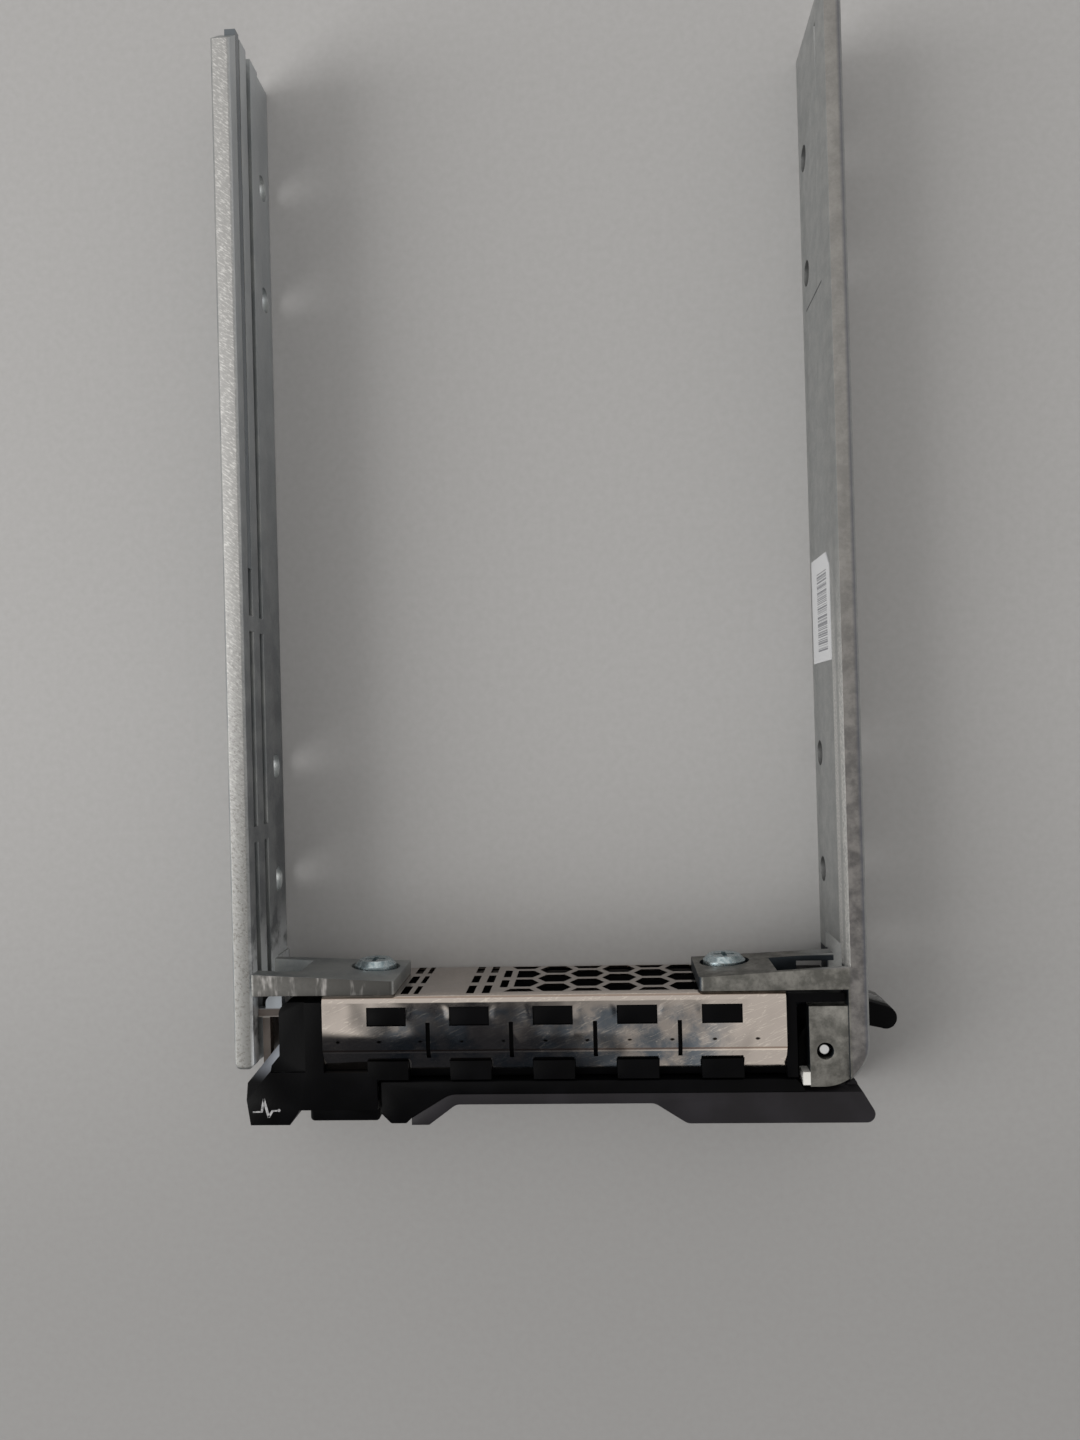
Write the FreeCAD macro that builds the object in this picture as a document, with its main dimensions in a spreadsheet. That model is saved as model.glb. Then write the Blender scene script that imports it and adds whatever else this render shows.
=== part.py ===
import FreeCAD, Part
import math
import os
import Sketcher

# Hot swap caddy for a 2.5 inch server drive.
# Frame: X across the caddy (0 midway between the rails), Y towards the drive's connector
# (0 on the front faces of the rails' ears, where the shield sheet is clamped), Z up
# (0 on the rails' lower edges).

SIZES = (
    # the two die-cast rails
    ("rail_height", 15.8, "height of a rail"),
    ("rail_gap", 70.7, "clear width between the rails, for a 69.85 mm drive"),
    ("rail_wall", 2.35, "thickness of a rail"),
    ("rail_rear", 118.2, "front faces of the ears to the rear ends of the rails"),
    ("rear_chamfer_y", 2.3, "length of the slope at a rail's upper rear corner"),
    ("rear_chamfer_z", 3.1, "height of the slope at a rail's upper rear corner"),
    ("left_nose", 8.8, "left rail in front of its ear"),
    ("nose_corner", 0.8, "corner radius of the left rail's front end"),
    ("edge_break", 0.3, "bevel on the rails' long outer edges"),
    ("hole_front", 12.4, "foremost drive screw hole"),
    ("hole_step", 14.86, "offset between the two sets of drive screw holes"),
    ("hole_spacing", 76.6, "spacing of the side holes of a 2.5 inch drive"),
    ("hole_height", 3.0, "drive screw holes above the lower edges"),
    ("hole_radius", 1.6, "drive screw hole"),
    ("hole_recess_radius", 2.6, "recess for the screw's head on the outside"),
    ("hole_recess_depth", 1.2, "depth of that recess"),
    ("foot_relief", 0.25, "step in the left wall's lower part"),
    ("foot_relief_height", 4.8, "height of the stepped lower part"),
    ("groove_depth", 1.4, "light pipe grooves in the left wall"),
    ("upper_groove_height", 12.57, "middle of the upper groove"),
    ("lower_groove_height", 8.6, "middle of the lower groove"),
    ("groove_width", 1.6, "width of a light pipe groove"),
    ("keeper_thickness", 0.45, "bridges that hold the light pipes in"),
    ("keeper_length", 1.9, "length of a bridge"),
    ("keeper_front", 19.2, "middle of the front bridges"),
    ("keeper_rear", 45.2, "middle of the rear bridges"),
    ("lip_height", 3.9, "ground strip along the top of the right rail's inner face"),
    ("lip_lean", 0.32, "how far that strip leans back"),
    ("rear_slot_length", 5.3, "short groove at the right rail's rear end"),
    ("rear_slot_height", 11.8, "height of that groove"),
    ("rear_slot_width", 0.8, "width of that groove"),
    ("rear_slot_depth", 0.6, "depth of that groove"),
    ("rear_slot_from_end", 2.6, "rail end to that groove"),
    # ears and their screws
    ("ear_reach", 17.25, "length of an ear from the rail's inner face"),
    ("ear_root", 2.6, "thickness of an ear at the rail"),
    ("ear_tip_thickness", 1.6, "thickness of an ear's end"),
    ("ear_bottom", 5.2, "lower edge of an ear at the rail"),
    ("ear_slope", 1.1, "fall of an ear's lower edge towards its end"),
    ("ear_corner", 0.6, "corner radius of the ears' upper ends"),
    ("ear_pocket_length", 5.15, "blind pocket in the left ear's rear face, from the rail"),
    ("ear_pocket_floor", 0.95, "floor of that pocket"),
    ("ear_pocket_low", 6.5, "lower side of that pocket"),
    ("ear_pocket_high", 13.3, "upper side of that pocket"),
    ("ear_screw_inset", 3.8, "ear screw from the ear's end"),
    ("spot_radius", 3.05, "counterbore for an ear screw's head"),
    ("spot_depth", 0.6, "counterbore below the ear's rear face"),
    ("screw_radius", 1.25, "ear screw's thread"),
    ("screw_play", 0.1, "radial clearance round an ear screw"),
    ("screw_head_radius", 2.6, "pan head"),
    ("screw_head_height", 1.7, "pan head"),
    ("screw_head_bevel", 0.65, "bevelled rim of the head"),
    ("screw_length", 8.0, "shank below the head"),
    ("recess_width", 0.55, "cross recess, width of an arm"),
    ("recess_length", 2.6, "cross recess, end to end"),
    ("recess_depth", 0.9, "cross recess, depth"),
    # shield: one folded sheet with contact fingers and a perforated back
    ("sheet", 0.25, "thickness of the spring steel sheet"),
    ("sheet_gap", 0.05, "seating gap between the sheet and what it touches"),
    ("shield_left", 26.9, "left end of the sheet"),
    ("shield_right", 28.15, "right end of the sheet"),
    ("shield_drop", 0.05, "sheet below the rails' upper edges"),
    ("flange_depth", 6.6, "flat of a flange in front of the ears"),
    ("lip_run", 2.7, "length of the sloping lip"),
    ("lip_fall", 1.45, "fall of the sloping lip"),
    ("sheet_bend", 1.0, "outer bend radius"),
    ("finger_pitch", 9.96, "spacing of the windows and fingers"),
    ("finger_centre", 0.78, "middle window"),
    ("window_width", 4.75, "window in a flange"),
    ("window_front", 3.75, "front edge of a window"),
    ("window_rear", 1.5, "rear edge of a window"),
    ("slit_width", 0.5, "slit between two fingers"),
    ("slit_rear", 3.35, "inner end of a slit"),
    ("slit_front", 7.7, "outer end of a slit"),
    ("notch_width", 5.1, "notch in the lip under a window"),
    ("notch_rear", 8.0, "inner edge of a notch"),
    ("cell_pitch_x", 4.02, "column to column of the honeycomb"),
    ("cell_pitch_z", 4.8, "row to row of the honeycomb"),
    ("cell_flats", 3.8, "honeycomb cell, height"),
    ("cell_corners", 4.3, "honeycomb cell, width"),
    ("cell_flat_top", 2.3, "honeycomb cell, length of its level sides"),
    ("cell_first", 0.8, "first full column of cells"),
    ("vent_margin", 1.2, "plain band below and above the honeycomb"),
    ("slot_height", 3.7, "narrow vent slot"),
    ("slot_width", 0.95, "narrow vent slot"),
    ("slot_pitch_z", 5.3, "row to row of the narrow slots"),
    ("slot_inner", 5.3, "narrow slots nearest the honeycomb"),
    ("slot_middle", 7.2, "second column of narrow slots"),
    ("slot_outer", 9.1, "third column of narrow slots"),
    ("slot_ear", 17.0, "column of slots beside the ear"),
    ("slot_thin", 15.6, "column of thin slots"),
    ("slot_thin_width", 0.6, "thin vent slot"),
    # bezel body behind and beside the handle
    ("body_gap", 0.2, "gap between the sheet and the plastic body inside it"),
    ("body_bevel", 0.4, "bevel on the body's rear corners, inside the sheet's bends"),
    ("body_wall", 1.6, "wall of the air duct"),
    ("duct_left", 19.0, "left end of the air duct"),
    ("panel_front", 10.3, "front of the body behind the handle"),
    ("panel_drop", 2.2, "ledge behind the handle below the body's top"),
    ("body_drop", 0.5, "plastic below the rails' upper edges"),
    ("left_block", 32.4, "left end of the block beside the sheet"),
    ("block_rear", 0.95, "rear face of that block"),
    ("block_corner", 1.5, "its rounded rear corner"),
    ("ridge_x", 29.2, "step along the top of that block"),
    ("ridge_drop", 0.35, "height of that step"),
    ("wing_inset", 1.0, "rail's outer face to the left end of the wing in front of it"),
    ("wing_bevel", 1.3, "bevel on the upper and lower edges of the wing's slope"),
    ("wing_shoulder", 10.9, "rear corner of the wing"),
    ("wing_root", 5.9, "rear end of the wing's slope"),
    ("wing_front", 15.6, "front face of the wing"),
    ("wing_inner", 31.2, "right end of the wing's front face"),
    ("wing_slope", 1.2, "slope between the wing and the button's recess"),
    ("wing_taper", 0.7, "lean of the wing's outer side"),
    ("button_deck", 13.85, "face that the button stands out of"),
    ("button_left", 29.0, "left end of the button"),
    ("button_right", 20.5, "right end of the button, and of its housing"),
    ("button_front", 15.55, "front face of the button"),
    ("button_height", 12.4, "height of the button"),
    ("button_play", 0.25, "gap round the button"),
    ("button_depth", 2.6, "button behind the deck"),
    ("button_round", 0.5, "rounded edges of the button"),
    ("button_flange", 0.4, "rim that keeps the button in"),
    ("button_rim_front", 12.9, "front of that rim's seat"),
    ("button_room", 1.65, "room behind the button's rim"),
    ("button_spring_radius", 1.6, "outer radius of the button's spring"),
    ("button_wire", 0.4, "wire of the button's spring"),
    ("button_spring_length", 2.4, "length of the button's spring"),
    ("button_spring_turns", 3.0, "turns of the button's spring"),
    ("right_block", 29.4, "right end of the block beside the sheet"),
    ("bar_front", 1.55, "bar behind the hinge lugs"),
    ("bar_gap", 0.35, "bar to the right rail"),
    ("boss_radius", 2.9, "post that takes an ear screw"),
    ("lug_fit", 0.1, "gap round the lugs in the sheet's windows"),
    ("lens_width", 0.9, "status window in the wing's front"),
    # hinge
    ("pivot_inset", 2.7, "pivot from the right rail's inner face"),
    ("pivot_front", 7.35, "pivot in front of the ears"),
    ("pin_radius", 1.0, "pivot pin"),
    ("pin_play", 0.05, "radial play of the pin"),
    ("pin_recess", 0.7, "pin's ends below the lugs"),
    ("pin_bevel", 0.45, "bevelled ends of the pin"),
    ("lug_reach", 4.5, "hinge lugs from the rail's inner face"),
    ("lug_rear", 2.1, "rear edges of the hinge lugs"),
    ("lug_front", 11.5, "front edges of the hinge lugs"),
    ("lug_corner", 5.3, "rounded front corner of the right rail"),
    ("lug_drop", 0.7, "lugs below the rail's upper edge"),
    ("lug_inside", 3.3, "inner faces of the lugs from the rail's edges"),
    ("window_back", 4.6, "rear end of the opening that the cam swings in"),
    ("cam_slot_length", 8.05, "slot in the right ear, from the rail"),
    ("cam_slot_low", 7.9, "lower side of that slot"),
    ("cam_slot_high", 15.0, "upper side of that slot"),
    ("cam_relief_length", 4.6, "hollow that the cam turns into below the slot"),
    ("cam_relief_depth", 1.7, "depth of that hollow from the ear's front"),
    # lever with its cam
    ("swing_gap", 0.3, "gap between the lever and the fixed parts"),
    ("hub_radius", 2.7, "hub of the lever"),
    ("neck_right", 2.3, "lever neck right of the pivot"),
    ("arm_rear", 10.6, "rear face of the lever's arm"),
    ("arm_front", 12.2, "front face of the lever's arm"),
    ("arm_bottom", 0.9, "lower edge of the lever's arm"),
    ("catch_left", 20.2, "left end of the catch nose"),
    ("catch_front", 15.65, "front of the catch nose"),
    ("catch_bevel", 1.2, "bevelled front corner of the catch nose"),
    ("catch_notch", 0.65, "notch between the catch nose and the handle"),
    ("cam_tip_x", 40.75, "centre of the cam's rounded tip"),
    ("cam_tip_y", 4.65, "centre of the cam's rounded tip"),
    ("cam_tip_radius", 1.35, "radius of the cam's tip"),
    ("cam_shoulder_x", 38.4, "shoulder of the cam outside the rail"),
    ("cam_shoulder_y", 2.55, "rear of the cam at its shoulder"),
    ("cam_belly_y", 5.5, "front of the cam at its shoulder"),
    ("cam_root_width", 2.2, "cam at the hub, each side of the pivot"),
    ("cam_inset", 1.2, "cam's faces inside the hub's"),
    ("cam_plate_thickness", 2.2, "steel plate in the cam"),
    ("cam_plate_proud", 0.75, "steel plate behind the plastic of the cam"),
    ("coil_radius", 2.0, "outer radius of the lever's spring"),
    ("coil_wire", 0.45, "wire of the lever's spring"),
    ("coil_turns", 3.0, "turns of the lever's spring"),
    ("coil_height", 2.6, "pocket for the lever's spring"),
    ("coil_play", 0.15, "gap round the lever's spring"),
    ("pad_width", 0.85, "nylon stop beside the lug"),
    ("pad_length", 1.5, "nylon stop beside the lug"),
    ("pad_rise", 2.4, "height of the nylon stop"),
    ("pad_front", 11.3, "front end of the nylon stop"),
    # handle on the lever
    ("grip_front", 13.4, "front of the handle's thin middle"),
    ("grip_deep", 15.8, "front of the handle's ends"),
    ("grip_tip", 16.5, "left end of the handle"),
    ("grip_tip_width", 2.1, "flat of the handle's left end"),
    ("grip_bend", 11.8, "rear bend at the handle's left end"),
    ("grip_bend_front", 11.1, "front bend at the handle's left end"),
    ("grip_bend_round", 3.0, "rounding of the rear bend"),
    ("grip_front_round", 1.5, "rounding of the handle's front bends"),
    ("grip_step", 12.6, "start of the handle's deep right end"),
    ("grip_step_end", 16.4, "end of the slope to the deep right end"),
    ("grip_right", 39.0, "right end of the handle before its corner is rounded"),
    ("grip_right_rear", 36.9, "right end of the handle's rear edge"),
    ("grip_round", 1.0, "rounded front corner at the right end"),
    ("wedge_radius", 5.6, "hollow of the wedge round the pivot"),
    ("wedge_round", 0.5, "rounded point of the wedge"),
    ("wedge_reach", 4.05, "wedge right of the pivot"),
    ("vent_height", 8.6, "air openings through the handle"),
    ("vent_width", 3.4, "air openings through the handle"),
    ("vent_pitch", 4.6, "spacing of the air openings"),
    ("vent_left", 7.5, "first air opening"),
    # light pipes and label
    ("pipe_width", 1.3, "light pipe across the groove"),
    ("pipe_depth", 0.65, "light pipe into the groove"),
    ("pipe_tip", 0.4, "light pipes behind the rail's end"),
    ("pipe_proud_front", 52.0, "where the upper pipe comes up flush"),
    ("nose_rear", 0.45, "rear of the nose on the upper light pipe's head"),
    ("nose_width", 2.0, "width of that nose"),
    ("nose_round", 1.0, "rounded corner of that nose"),
    ("head_rear", 2.1, "rear of the upper light pipe's head"),
    ("head_step", 3.1, "where the upper head ends and the lower one starts"),
    ("head_front", 7.0, "front of the lower light pipe's head"),
    ("lens_inset", 1.8, "wing's left end to the status windows"),
    ("label_front", 38.7, "front end of the label"),
    ("label_length", 13.2, "length of the label"),
    ("label_bottom", 1.4, "lower edge of the label"),
    ("label_height", 10.4, "height of the label"),
    ("label_corner", 1.6, "cut corner of the label"),
    ("label_film", 0.12, "thickness of the label"),
    ("cut_margin", 1.0, "cuts run this far past the surface"),
)

doc = FreeCAD.newDocument("drive_caddy")
sheet = doc.addObject("Spreadsheet::Sheet", "sizes")
for row, (alias, value, note) in enumerate(SIZES, 1):
    sheet.set(f"A{row}", note)
    sheet.set(f"B{row}", str(value))
    sheet.setAlias(f"B{row}", alias)
doc.recompute()


class Size:
    """A length: the expression that binds it to the sheet, and its value now."""

    def __init__(self, text, mm):
        self.text, self.mm = text, mm

    def _with(self, other, sign, act, turned=False):
        other = other if isinstance(other, Size) else Size(repr(other), other)
        a, b = (other, self) if turned else (self, other)
        return Size(f"({a.text} {sign} {b.text})", act(a.mm, b.mm))

    def __add__(self, other):
        return self._with(other, "+", lambda a, b: a + b)

    def __sub__(self, other):
        return self._with(other, "-", lambda a, b: a - b)

    def __mul__(self, other):
        return self._with(other, "*", lambda a, b: a * b)

    def __truediv__(self, other):
        return self._with(other, "/", lambda a, b: a / b)

    def __rsub__(self, other):
        return self._with(other, "-", lambda a, b: a - b, turned=True)

    def __neg__(self):
        return Size(f"(-1 * {self.text})", -self.mm)

    __radd__, __rmul__ = __add__, __mul__


def root(size):
    return Size(f"sqrt({size.text})", math.sqrt(size.mm))


class Sheet:
    """Gives each named cell of the sheet as a Size."""

    def __getattr__(self, alias):
        return Size(f"sizes.{alias}", float(sheet.get(alias)))


s = Sheet()
ZERO = s.rail_height - s.rail_height
SOLIDS = []


# ---- building blocks --------------------------------------------------------------------
class Round:
    """A full circle in a sketch."""

    def __init__(self, x, y, radius):
        self.x, self.y, self.radius = x, y, radius


class Bend:
    """An arc from the corner before it to a tangent end, about a centre."""

    def __init__(self, centre_x, centre_y, end_x, end_y, pin, clockwise=False):
        self.cx, self.cy, self.x, self.y = centre_x, centre_y, end_x, end_y
        self.pin, self.clockwise = pin, clockwise


def body_named(label):
    body = doc.addObject("PartDesign::Body", label)
    body.Label = label
    SOLIDS.append(body)
    return body


def arc_between(start, end, bend):
    centre = FreeCAD.Vector(bend.cx.mm, bend.cy.mm, 0)
    radius = (start - centre).Length
    first, last = (end, start) if bend.clockwise else (start, end)
    low = math.atan2(first.y - centre.y, first.x - centre.x)
    high = math.atan2(last.y - centre.y, last.x - centre.x)
    if high < low:
        high += 2 * math.pi
    circle = Part.Circle(centre, FreeCAD.Vector(0, 0, 1), radius)
    return Part.ArcOfCircle(circle, low, high)


def draw_loop(sketch, loop):
    """Adds one closed outline whose corners are bound to the sheet."""
    bound = []

    def hold(kind, geo, point, size):
        sketch.addConstraint(Sketcher.Constraint(kind, -1, 1, geo, point, size.mm))
        bound.append((sketch.ConstraintCount - 1, size.text))

    first, count = sketch.GeometryCount, len(loop)
    ends = [FreeCAD.Vector(c.x.mm, c.y.mm, 0) if isinstance(c, Bend)
            else FreeCAD.Vector(c[0].mm, c[1].mm, 0) for c in loop]
    start_point, end_point = [], []
    for i in range(count):
        following = loop[(i + 1) % count]
        if isinstance(following, Bend):
            sketch.addGeometry(arc_between(ends[i], ends[(i + 1) % count], following), False)
            start_point.append(2 if following.clockwise else 1)
            end_point.append(1 if following.clockwise else 2)
        else:
            sketch.addGeometry(Part.LineSegment(ends[i], ends[(i + 1) % count]), False)
            start_point.append(1)
            end_point.append(2)
    for i in range(count):
        after = (i + 1) % count
        sketch.addConstraint(Sketcher.Constraint("Coincident", first + i, end_point[i],
                                                 first + after, start_point[after]))
        corner = loop[i]
        if isinstance(corner, Bend):
            before = first + (i - 1) % count
            hold("DistanceX", before, 3, corner.cx)
            hold("DistanceY", before, 3, corner.cy)
            if corner.pin == "x":
                hold("DistanceX", first + i, start_point[i], corner.x)
            else:
                hold("DistanceY", first + i, start_point[i], corner.y)
        else:
            hold("DistanceX", first + i, start_point[i], corner[0])
            hold("DistanceY", first + i, start_point[i], corner[1])
    for index, text in bound:
        sketch.setExpression(f"Constraints[{index}]", text)


def draw_round(sketch, spot):
    geo = sketch.GeometryCount
    circle = Part.Circle(FreeCAD.Vector(spot.x.mm, spot.y.mm, 0),
                         FreeCAD.Vector(0, 0, 1), spot.radius.mm)
    sketch.addGeometry(circle, False)
    for kind, size in (("DistanceX", spot.x), ("DistanceY", spot.y)):
        sketch.addConstraint(Sketcher.Constraint(kind, -1, 1, geo, 3, size.mm))
        sketch.setExpression(f"Constraints[{sketch.ConstraintCount - 1}]", size.text)
    sketch.addConstraint(Sketcher.Constraint("Radius", geo, spot.radius.mm))
    sketch.setExpression(f"Constraints[{sketch.ConstraintCount - 1}]", spot.radius.text)


def sketch_on(body, plane, offset, loops):
    """A sketch on one of the body's origin planes, moved along its normal."""
    sketch = body.newObject("Sketcher::SketchObject", body.Label + "_outline")
    role = {"top": "XY_Plane", "front": "XZ_Plane", "side": "YZ_Plane"}[plane]
    base = next(f for f in body.Origin.OriginFeatures if f.Role == role)
    sketch.AttachmentSupport = [(base, "")]
    sketch.MapMode = "FlatFace"
    sketch.setExpression("AttachmentOffset.Base.z", offset.text)
    for loop in loops:
        if isinstance(loop, Round):
            draw_round(sketch, loop)
        else:
            draw_loop(sketch, loop)
    return sketch


def sweep_between(kind, body, plane, loops, low, high, near):
    """Pads or pockets outlines between two coordinates along the plane's axis."""
    offset = near if plane != "front" else -near
    sketch = sketch_on(body, plane, offset, loops)
    feature = body.newObject(kind, body.Label + "_step")
    feature.Profile = sketch
    feature.setExpression("Length", (high - low).text)
    sketch.Visibility = False
    body.Tip = feature
    doc.recompute()
    return feature


def block(body, plane, loops, low, high):
    near = high if plane == "front" else low
    return sweep_between("PartDesign::Pad", body, plane, loops, low, high, near)


def cut(body, plane, loops, low, high):
    near = low if plane == "front" else high
    before = body.Shape.Volume
    feature = sweep_between("PartDesign::Pocket", body, plane, loops, low, high, near)
    if not body.Shape.Volume < before:
        raise ValueError(f"a cut in {body.Label} removes nothing")
    return feature


def box(x_low, x_high, y_low, y_high):
    return [(x_low, y_low), (x_high, y_low), (x_high, y_high), (x_low, y_high)]


def repeat(body, feature, axis, pitch, count):
    """Repeats a feature along a sketch axis."""
    pattern = body.newObject("PartDesign::LinearPattern", body.Label + "_row")
    pattern.Originals = [feature]
    pattern.Direction = (feature.Profile[0], [axis])
    pattern.setExpression("Length", (pitch * (count - 1)).text)
    pattern.Occurrences = count
    body.Tip = pattern
    doc.recompute()
    return pattern


def edges_near(shape, axis, spots):
    """Names of the straight edges along an axis that stand at the given spots."""
    keep = [i for i in range(3) if i != axis]
    names = []
    for number, edge in enumerate(shape.Edges, 1):
        ends = [v.Point for v in edge.Vertexes]
        if len(ends) != 2 or any(abs(ends[0][i] - ends[1][i]) > 0.001 for i in keep):
            continue
        if any(abs(ends[0][keep[0]] - a.mm) < 0.01 and abs(ends[0][keep[1]] - b.mm) < 0.01
               for a, b in spots):
            names.append(f"Edge{number}")
    if not names:
        raise ValueError("no edge stands where one is to be rounded")
    return names


def rims_at(shape, axis, size):
    """Names of the full circles that lie at a coordinate of an axis."""
    return [f"Edge{number}" for number, edge in enumerate(shape.Edges, 1)
            if edge.isClosed() and abs(edge.Vertexes[0].Point[axis] - size.mm) < 0.001]


def ease_edges(kind, body, size, names):
    base = body.Tip
    feature = body.newObject(f"PartDesign::{kind}", body.Label + "_edge")
    feature.Base = (base, names)
    feature.setExpression("Radius" if kind == "Fillet" else "Size", size.text)
    body.Tip = feature
    doc.recompute()


def ease(kind, body, size, axis, spots):
    """Rounds or bevels the edges that run along an axis through the given spots."""
    ease_edges(kind, body, size, edges_near(body.Tip.Shape, axis, spots))


# ---- sizes that several pieces share ------------------------------------------------------
height = s.rail_height
half_gap = s.rail_gap / 2
rail_out = half_gap + s.rail_wall
past = s.cut_margin
ear_tip = half_gap - s.ear_reach
screw_x = ear_tip + s.ear_screw_inset
screw_seat = s.ear_tip_thickness - s.spot_depth
middle = height / 2
pivot_x = half_gap - s.pivot_inset
pivot_y = -s.pivot_front
lug_left = half_gap - s.lug_reach
lug_low, lug_high = s.lug_inside, height - s.lug_inside
body_low, body_high = s.body_drop, height - s.body_drop
hub_low, hub_high = lug_low + s.swing_gap, lug_high - s.swing_gap
sheet_top = height - s.shield_drop
sheet_low = s.shield_drop
web_front = -s.sheet_gap - s.sheet
arm_high = height - s.arm_bottom
hole_rows = [s.hole_front, s.hole_front + s.hole_step, s.hole_front + s.hole_spacing,
             s.hole_front + s.hole_step + s.hole_spacing]


# ---- rails ----------------------------------------------------------------------------
def rail_ends(rail, inner, outer):
    """Slope at the upper rear corner and the drive screw holes with their recesses."""
    low, high = (inner, outer) if inner.mm < outer.mm else (outer, inner)
    slope = [(s.rail_rear - s.rear_chamfer_y, height), (s.rail_rear, height - s.rear_chamfer_z),
             (s.rail_rear + past, height - s.rear_chamfer_z), (s.rail_rear + past, height + past),
             (s.rail_rear - s.rear_chamfer_y, height + past)]
    cut(rail, "side", [slope], low - past, high + past)
    cut(rail, "side", [Round(y, s.hole_height, s.hole_radius) for y in hole_rows],
        low - past, high + past)
    recess = [Round(y, s.hole_height, s.hole_recess_radius) for y in hole_rows]
    if outer.mm > 0:
        cut(rail, "side", recess, outer - s.hole_recess_depth, outer + past)
    else:
        cut(rail, "side", recess, outer - past, outer + s.hole_recess_depth)


def ear_on(rail, side):
    """A plate across the front of the rail, with the counterbored hole for its screw."""
    plan = [(half_gap * side, ZERO), (ear_tip * side, ZERO),
            (ear_tip * side, s.ear_tip_thickness), (half_gap * side, s.ear_root)]
    ear_low = s.ear_bottom - s.ear_slope
    block(rail, "top", [plan], ear_low, height)
    below = [(half_gap * side, s.ear_bottom), (ear_tip * side, ear_low),
             (half_gap * side, ear_low)]
    cut(rail, "front", [below], -past, s.ear_root + past)
    ease("Fillet", rail, s.ear_corner, 1, [(ear_tip * side, height)])
    cut(rail, "front", [Round(screw_x * side, middle, s.screw_radius + s.screw_play)],
        -past, s.ear_root + past)
    cut(rail, "front", [Round(screw_x * side, middle, s.spot_radius)],
        screw_seat, s.ear_root + past)


left_rail = body_named("left_rail")
block(left_rail, "top", [box(-rail_out, -half_gap, -s.left_nose, s.rail_rear)], ZERO, height)
ease("Fillet", left_rail, s.nose_corner, 2,
     [(-rail_out, -s.left_nose), (-half_gap, -s.left_nose)])
ease("Chamfer", left_rail, s.edge_break, 1, [(-rail_out, height)])
ear_on(left_rail, -1)
cut(left_rail, "front", [box(-half_gap, -half_gap + s.ear_pocket_length,
                             s.ear_pocket_low, s.ear_pocket_high)],
    s.ear_pocket_floor, s.ear_root + past)
groove_runs = [box(-s.left_nose - past, s.rail_rear + past,
                   z - s.groove_width / 2, z + s.groove_width / 2)
               for z in (s.upper_groove_height, s.lower_groove_height)]
cut(left_rail, "side", groove_runs, -half_gap - s.groove_depth, -half_gap)
keepers = [box(y - s.keeper_length / 2, y + s.keeper_length / 2,
               s.lower_groove_height - s.groove_width, s.upper_groove_height + s.groove_width)
           for y in (s.keeper_front, s.keeper_rear)]
block(left_rail, "side", keepers, -half_gap - s.keeper_thickness, -half_gap)
cut(left_rail, "side", [box(s.ear_root, s.rail_rear + past, -past, s.foot_relief_height)],
    -half_gap - s.foot_relief, -half_gap)
rail_ends(left_rail, -half_gap, -rail_out)

right_rail = body_named("right_rail")
corner_x, corner_y = rail_out - s.lug_corner, s.lug_corner - s.lug_front
block(right_rail, "top", [box(half_gap, rail_out, -s.lug_rear, s.rail_rear)], ZERO, height)
lug_plan = [(lug_left, -s.lug_rear), (lug_left, -s.lug_front), (corner_x, -s.lug_front),
            Bend(corner_x, corner_y, rail_out, corner_y, "y"), (rail_out, -s.lug_rear)]
block(right_rail, "top", [lug_plan], s.lug_drop, height - s.lug_drop)
arc_end = corner_y - root(s.lug_corner * s.lug_corner
                          - (half_gap - corner_x) * (half_gap - corner_x))
ridge_plan = [(half_gap, -s.lug_rear), (half_gap, arc_end),
              Bend(corner_x, corner_y, rail_out, corner_y, "y"), (rail_out, -s.lug_rear)]
block(right_rail, "top", [ridge_plan], ZERO, height)
ease("Chamfer", right_rail, s.edge_break, 1, [(rail_out, height)])
ear_on(right_rail, 1)
cut(right_rail, "side", [box(-s.lug_front - past, ZERO, lug_low, lug_high)],
    lug_left - past, rail_out + past)
cut(right_rail, "side", [box(-past, s.window_back, lug_low, lug_high)],
    half_gap, rail_out + past)
cut(right_rail, "front", [box(half_gap - s.cam_slot_length, half_gap,
                              s.cam_slot_low, s.cam_slot_high)], -past, s.ear_root + past)
cut(right_rail, "front", [box(half_gap - s.cam_relief_length, half_gap,
                              lug_low, s.cam_slot_low)], -past, s.cam_relief_depth)
cut(right_rail, "top", [Round(pivot_x, pivot_y, s.pin_radius)], -past, height + past)
lip_low = height - s.lip_height
lean = [(half_gap, lip_low), (half_gap + s.lip_lean / 4, lip_low + s.lip_height / 2),
        (half_gap + s.lip_lean, height), (half_gap + s.lip_lean, height + past),
        (half_gap - past, height + past), (half_gap - past, lip_low)]
cut(right_rail, "front", [lean], s.ear_root, s.rail_rear + past)
rear_slot = box(s.rail_rear - s.rear_slot_from_end - s.rear_slot_length,
                s.rail_rear - s.rear_slot_from_end,
                s.rear_slot_height - s.rear_slot_width / 2,
                s.rear_slot_height + s.rear_slot_width / 2)
cut(right_rail, "side", [rear_slot], half_gap - past, half_gap + s.rear_slot_depth)
rail_ends(right_rail, half_gap, rail_out)


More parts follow.
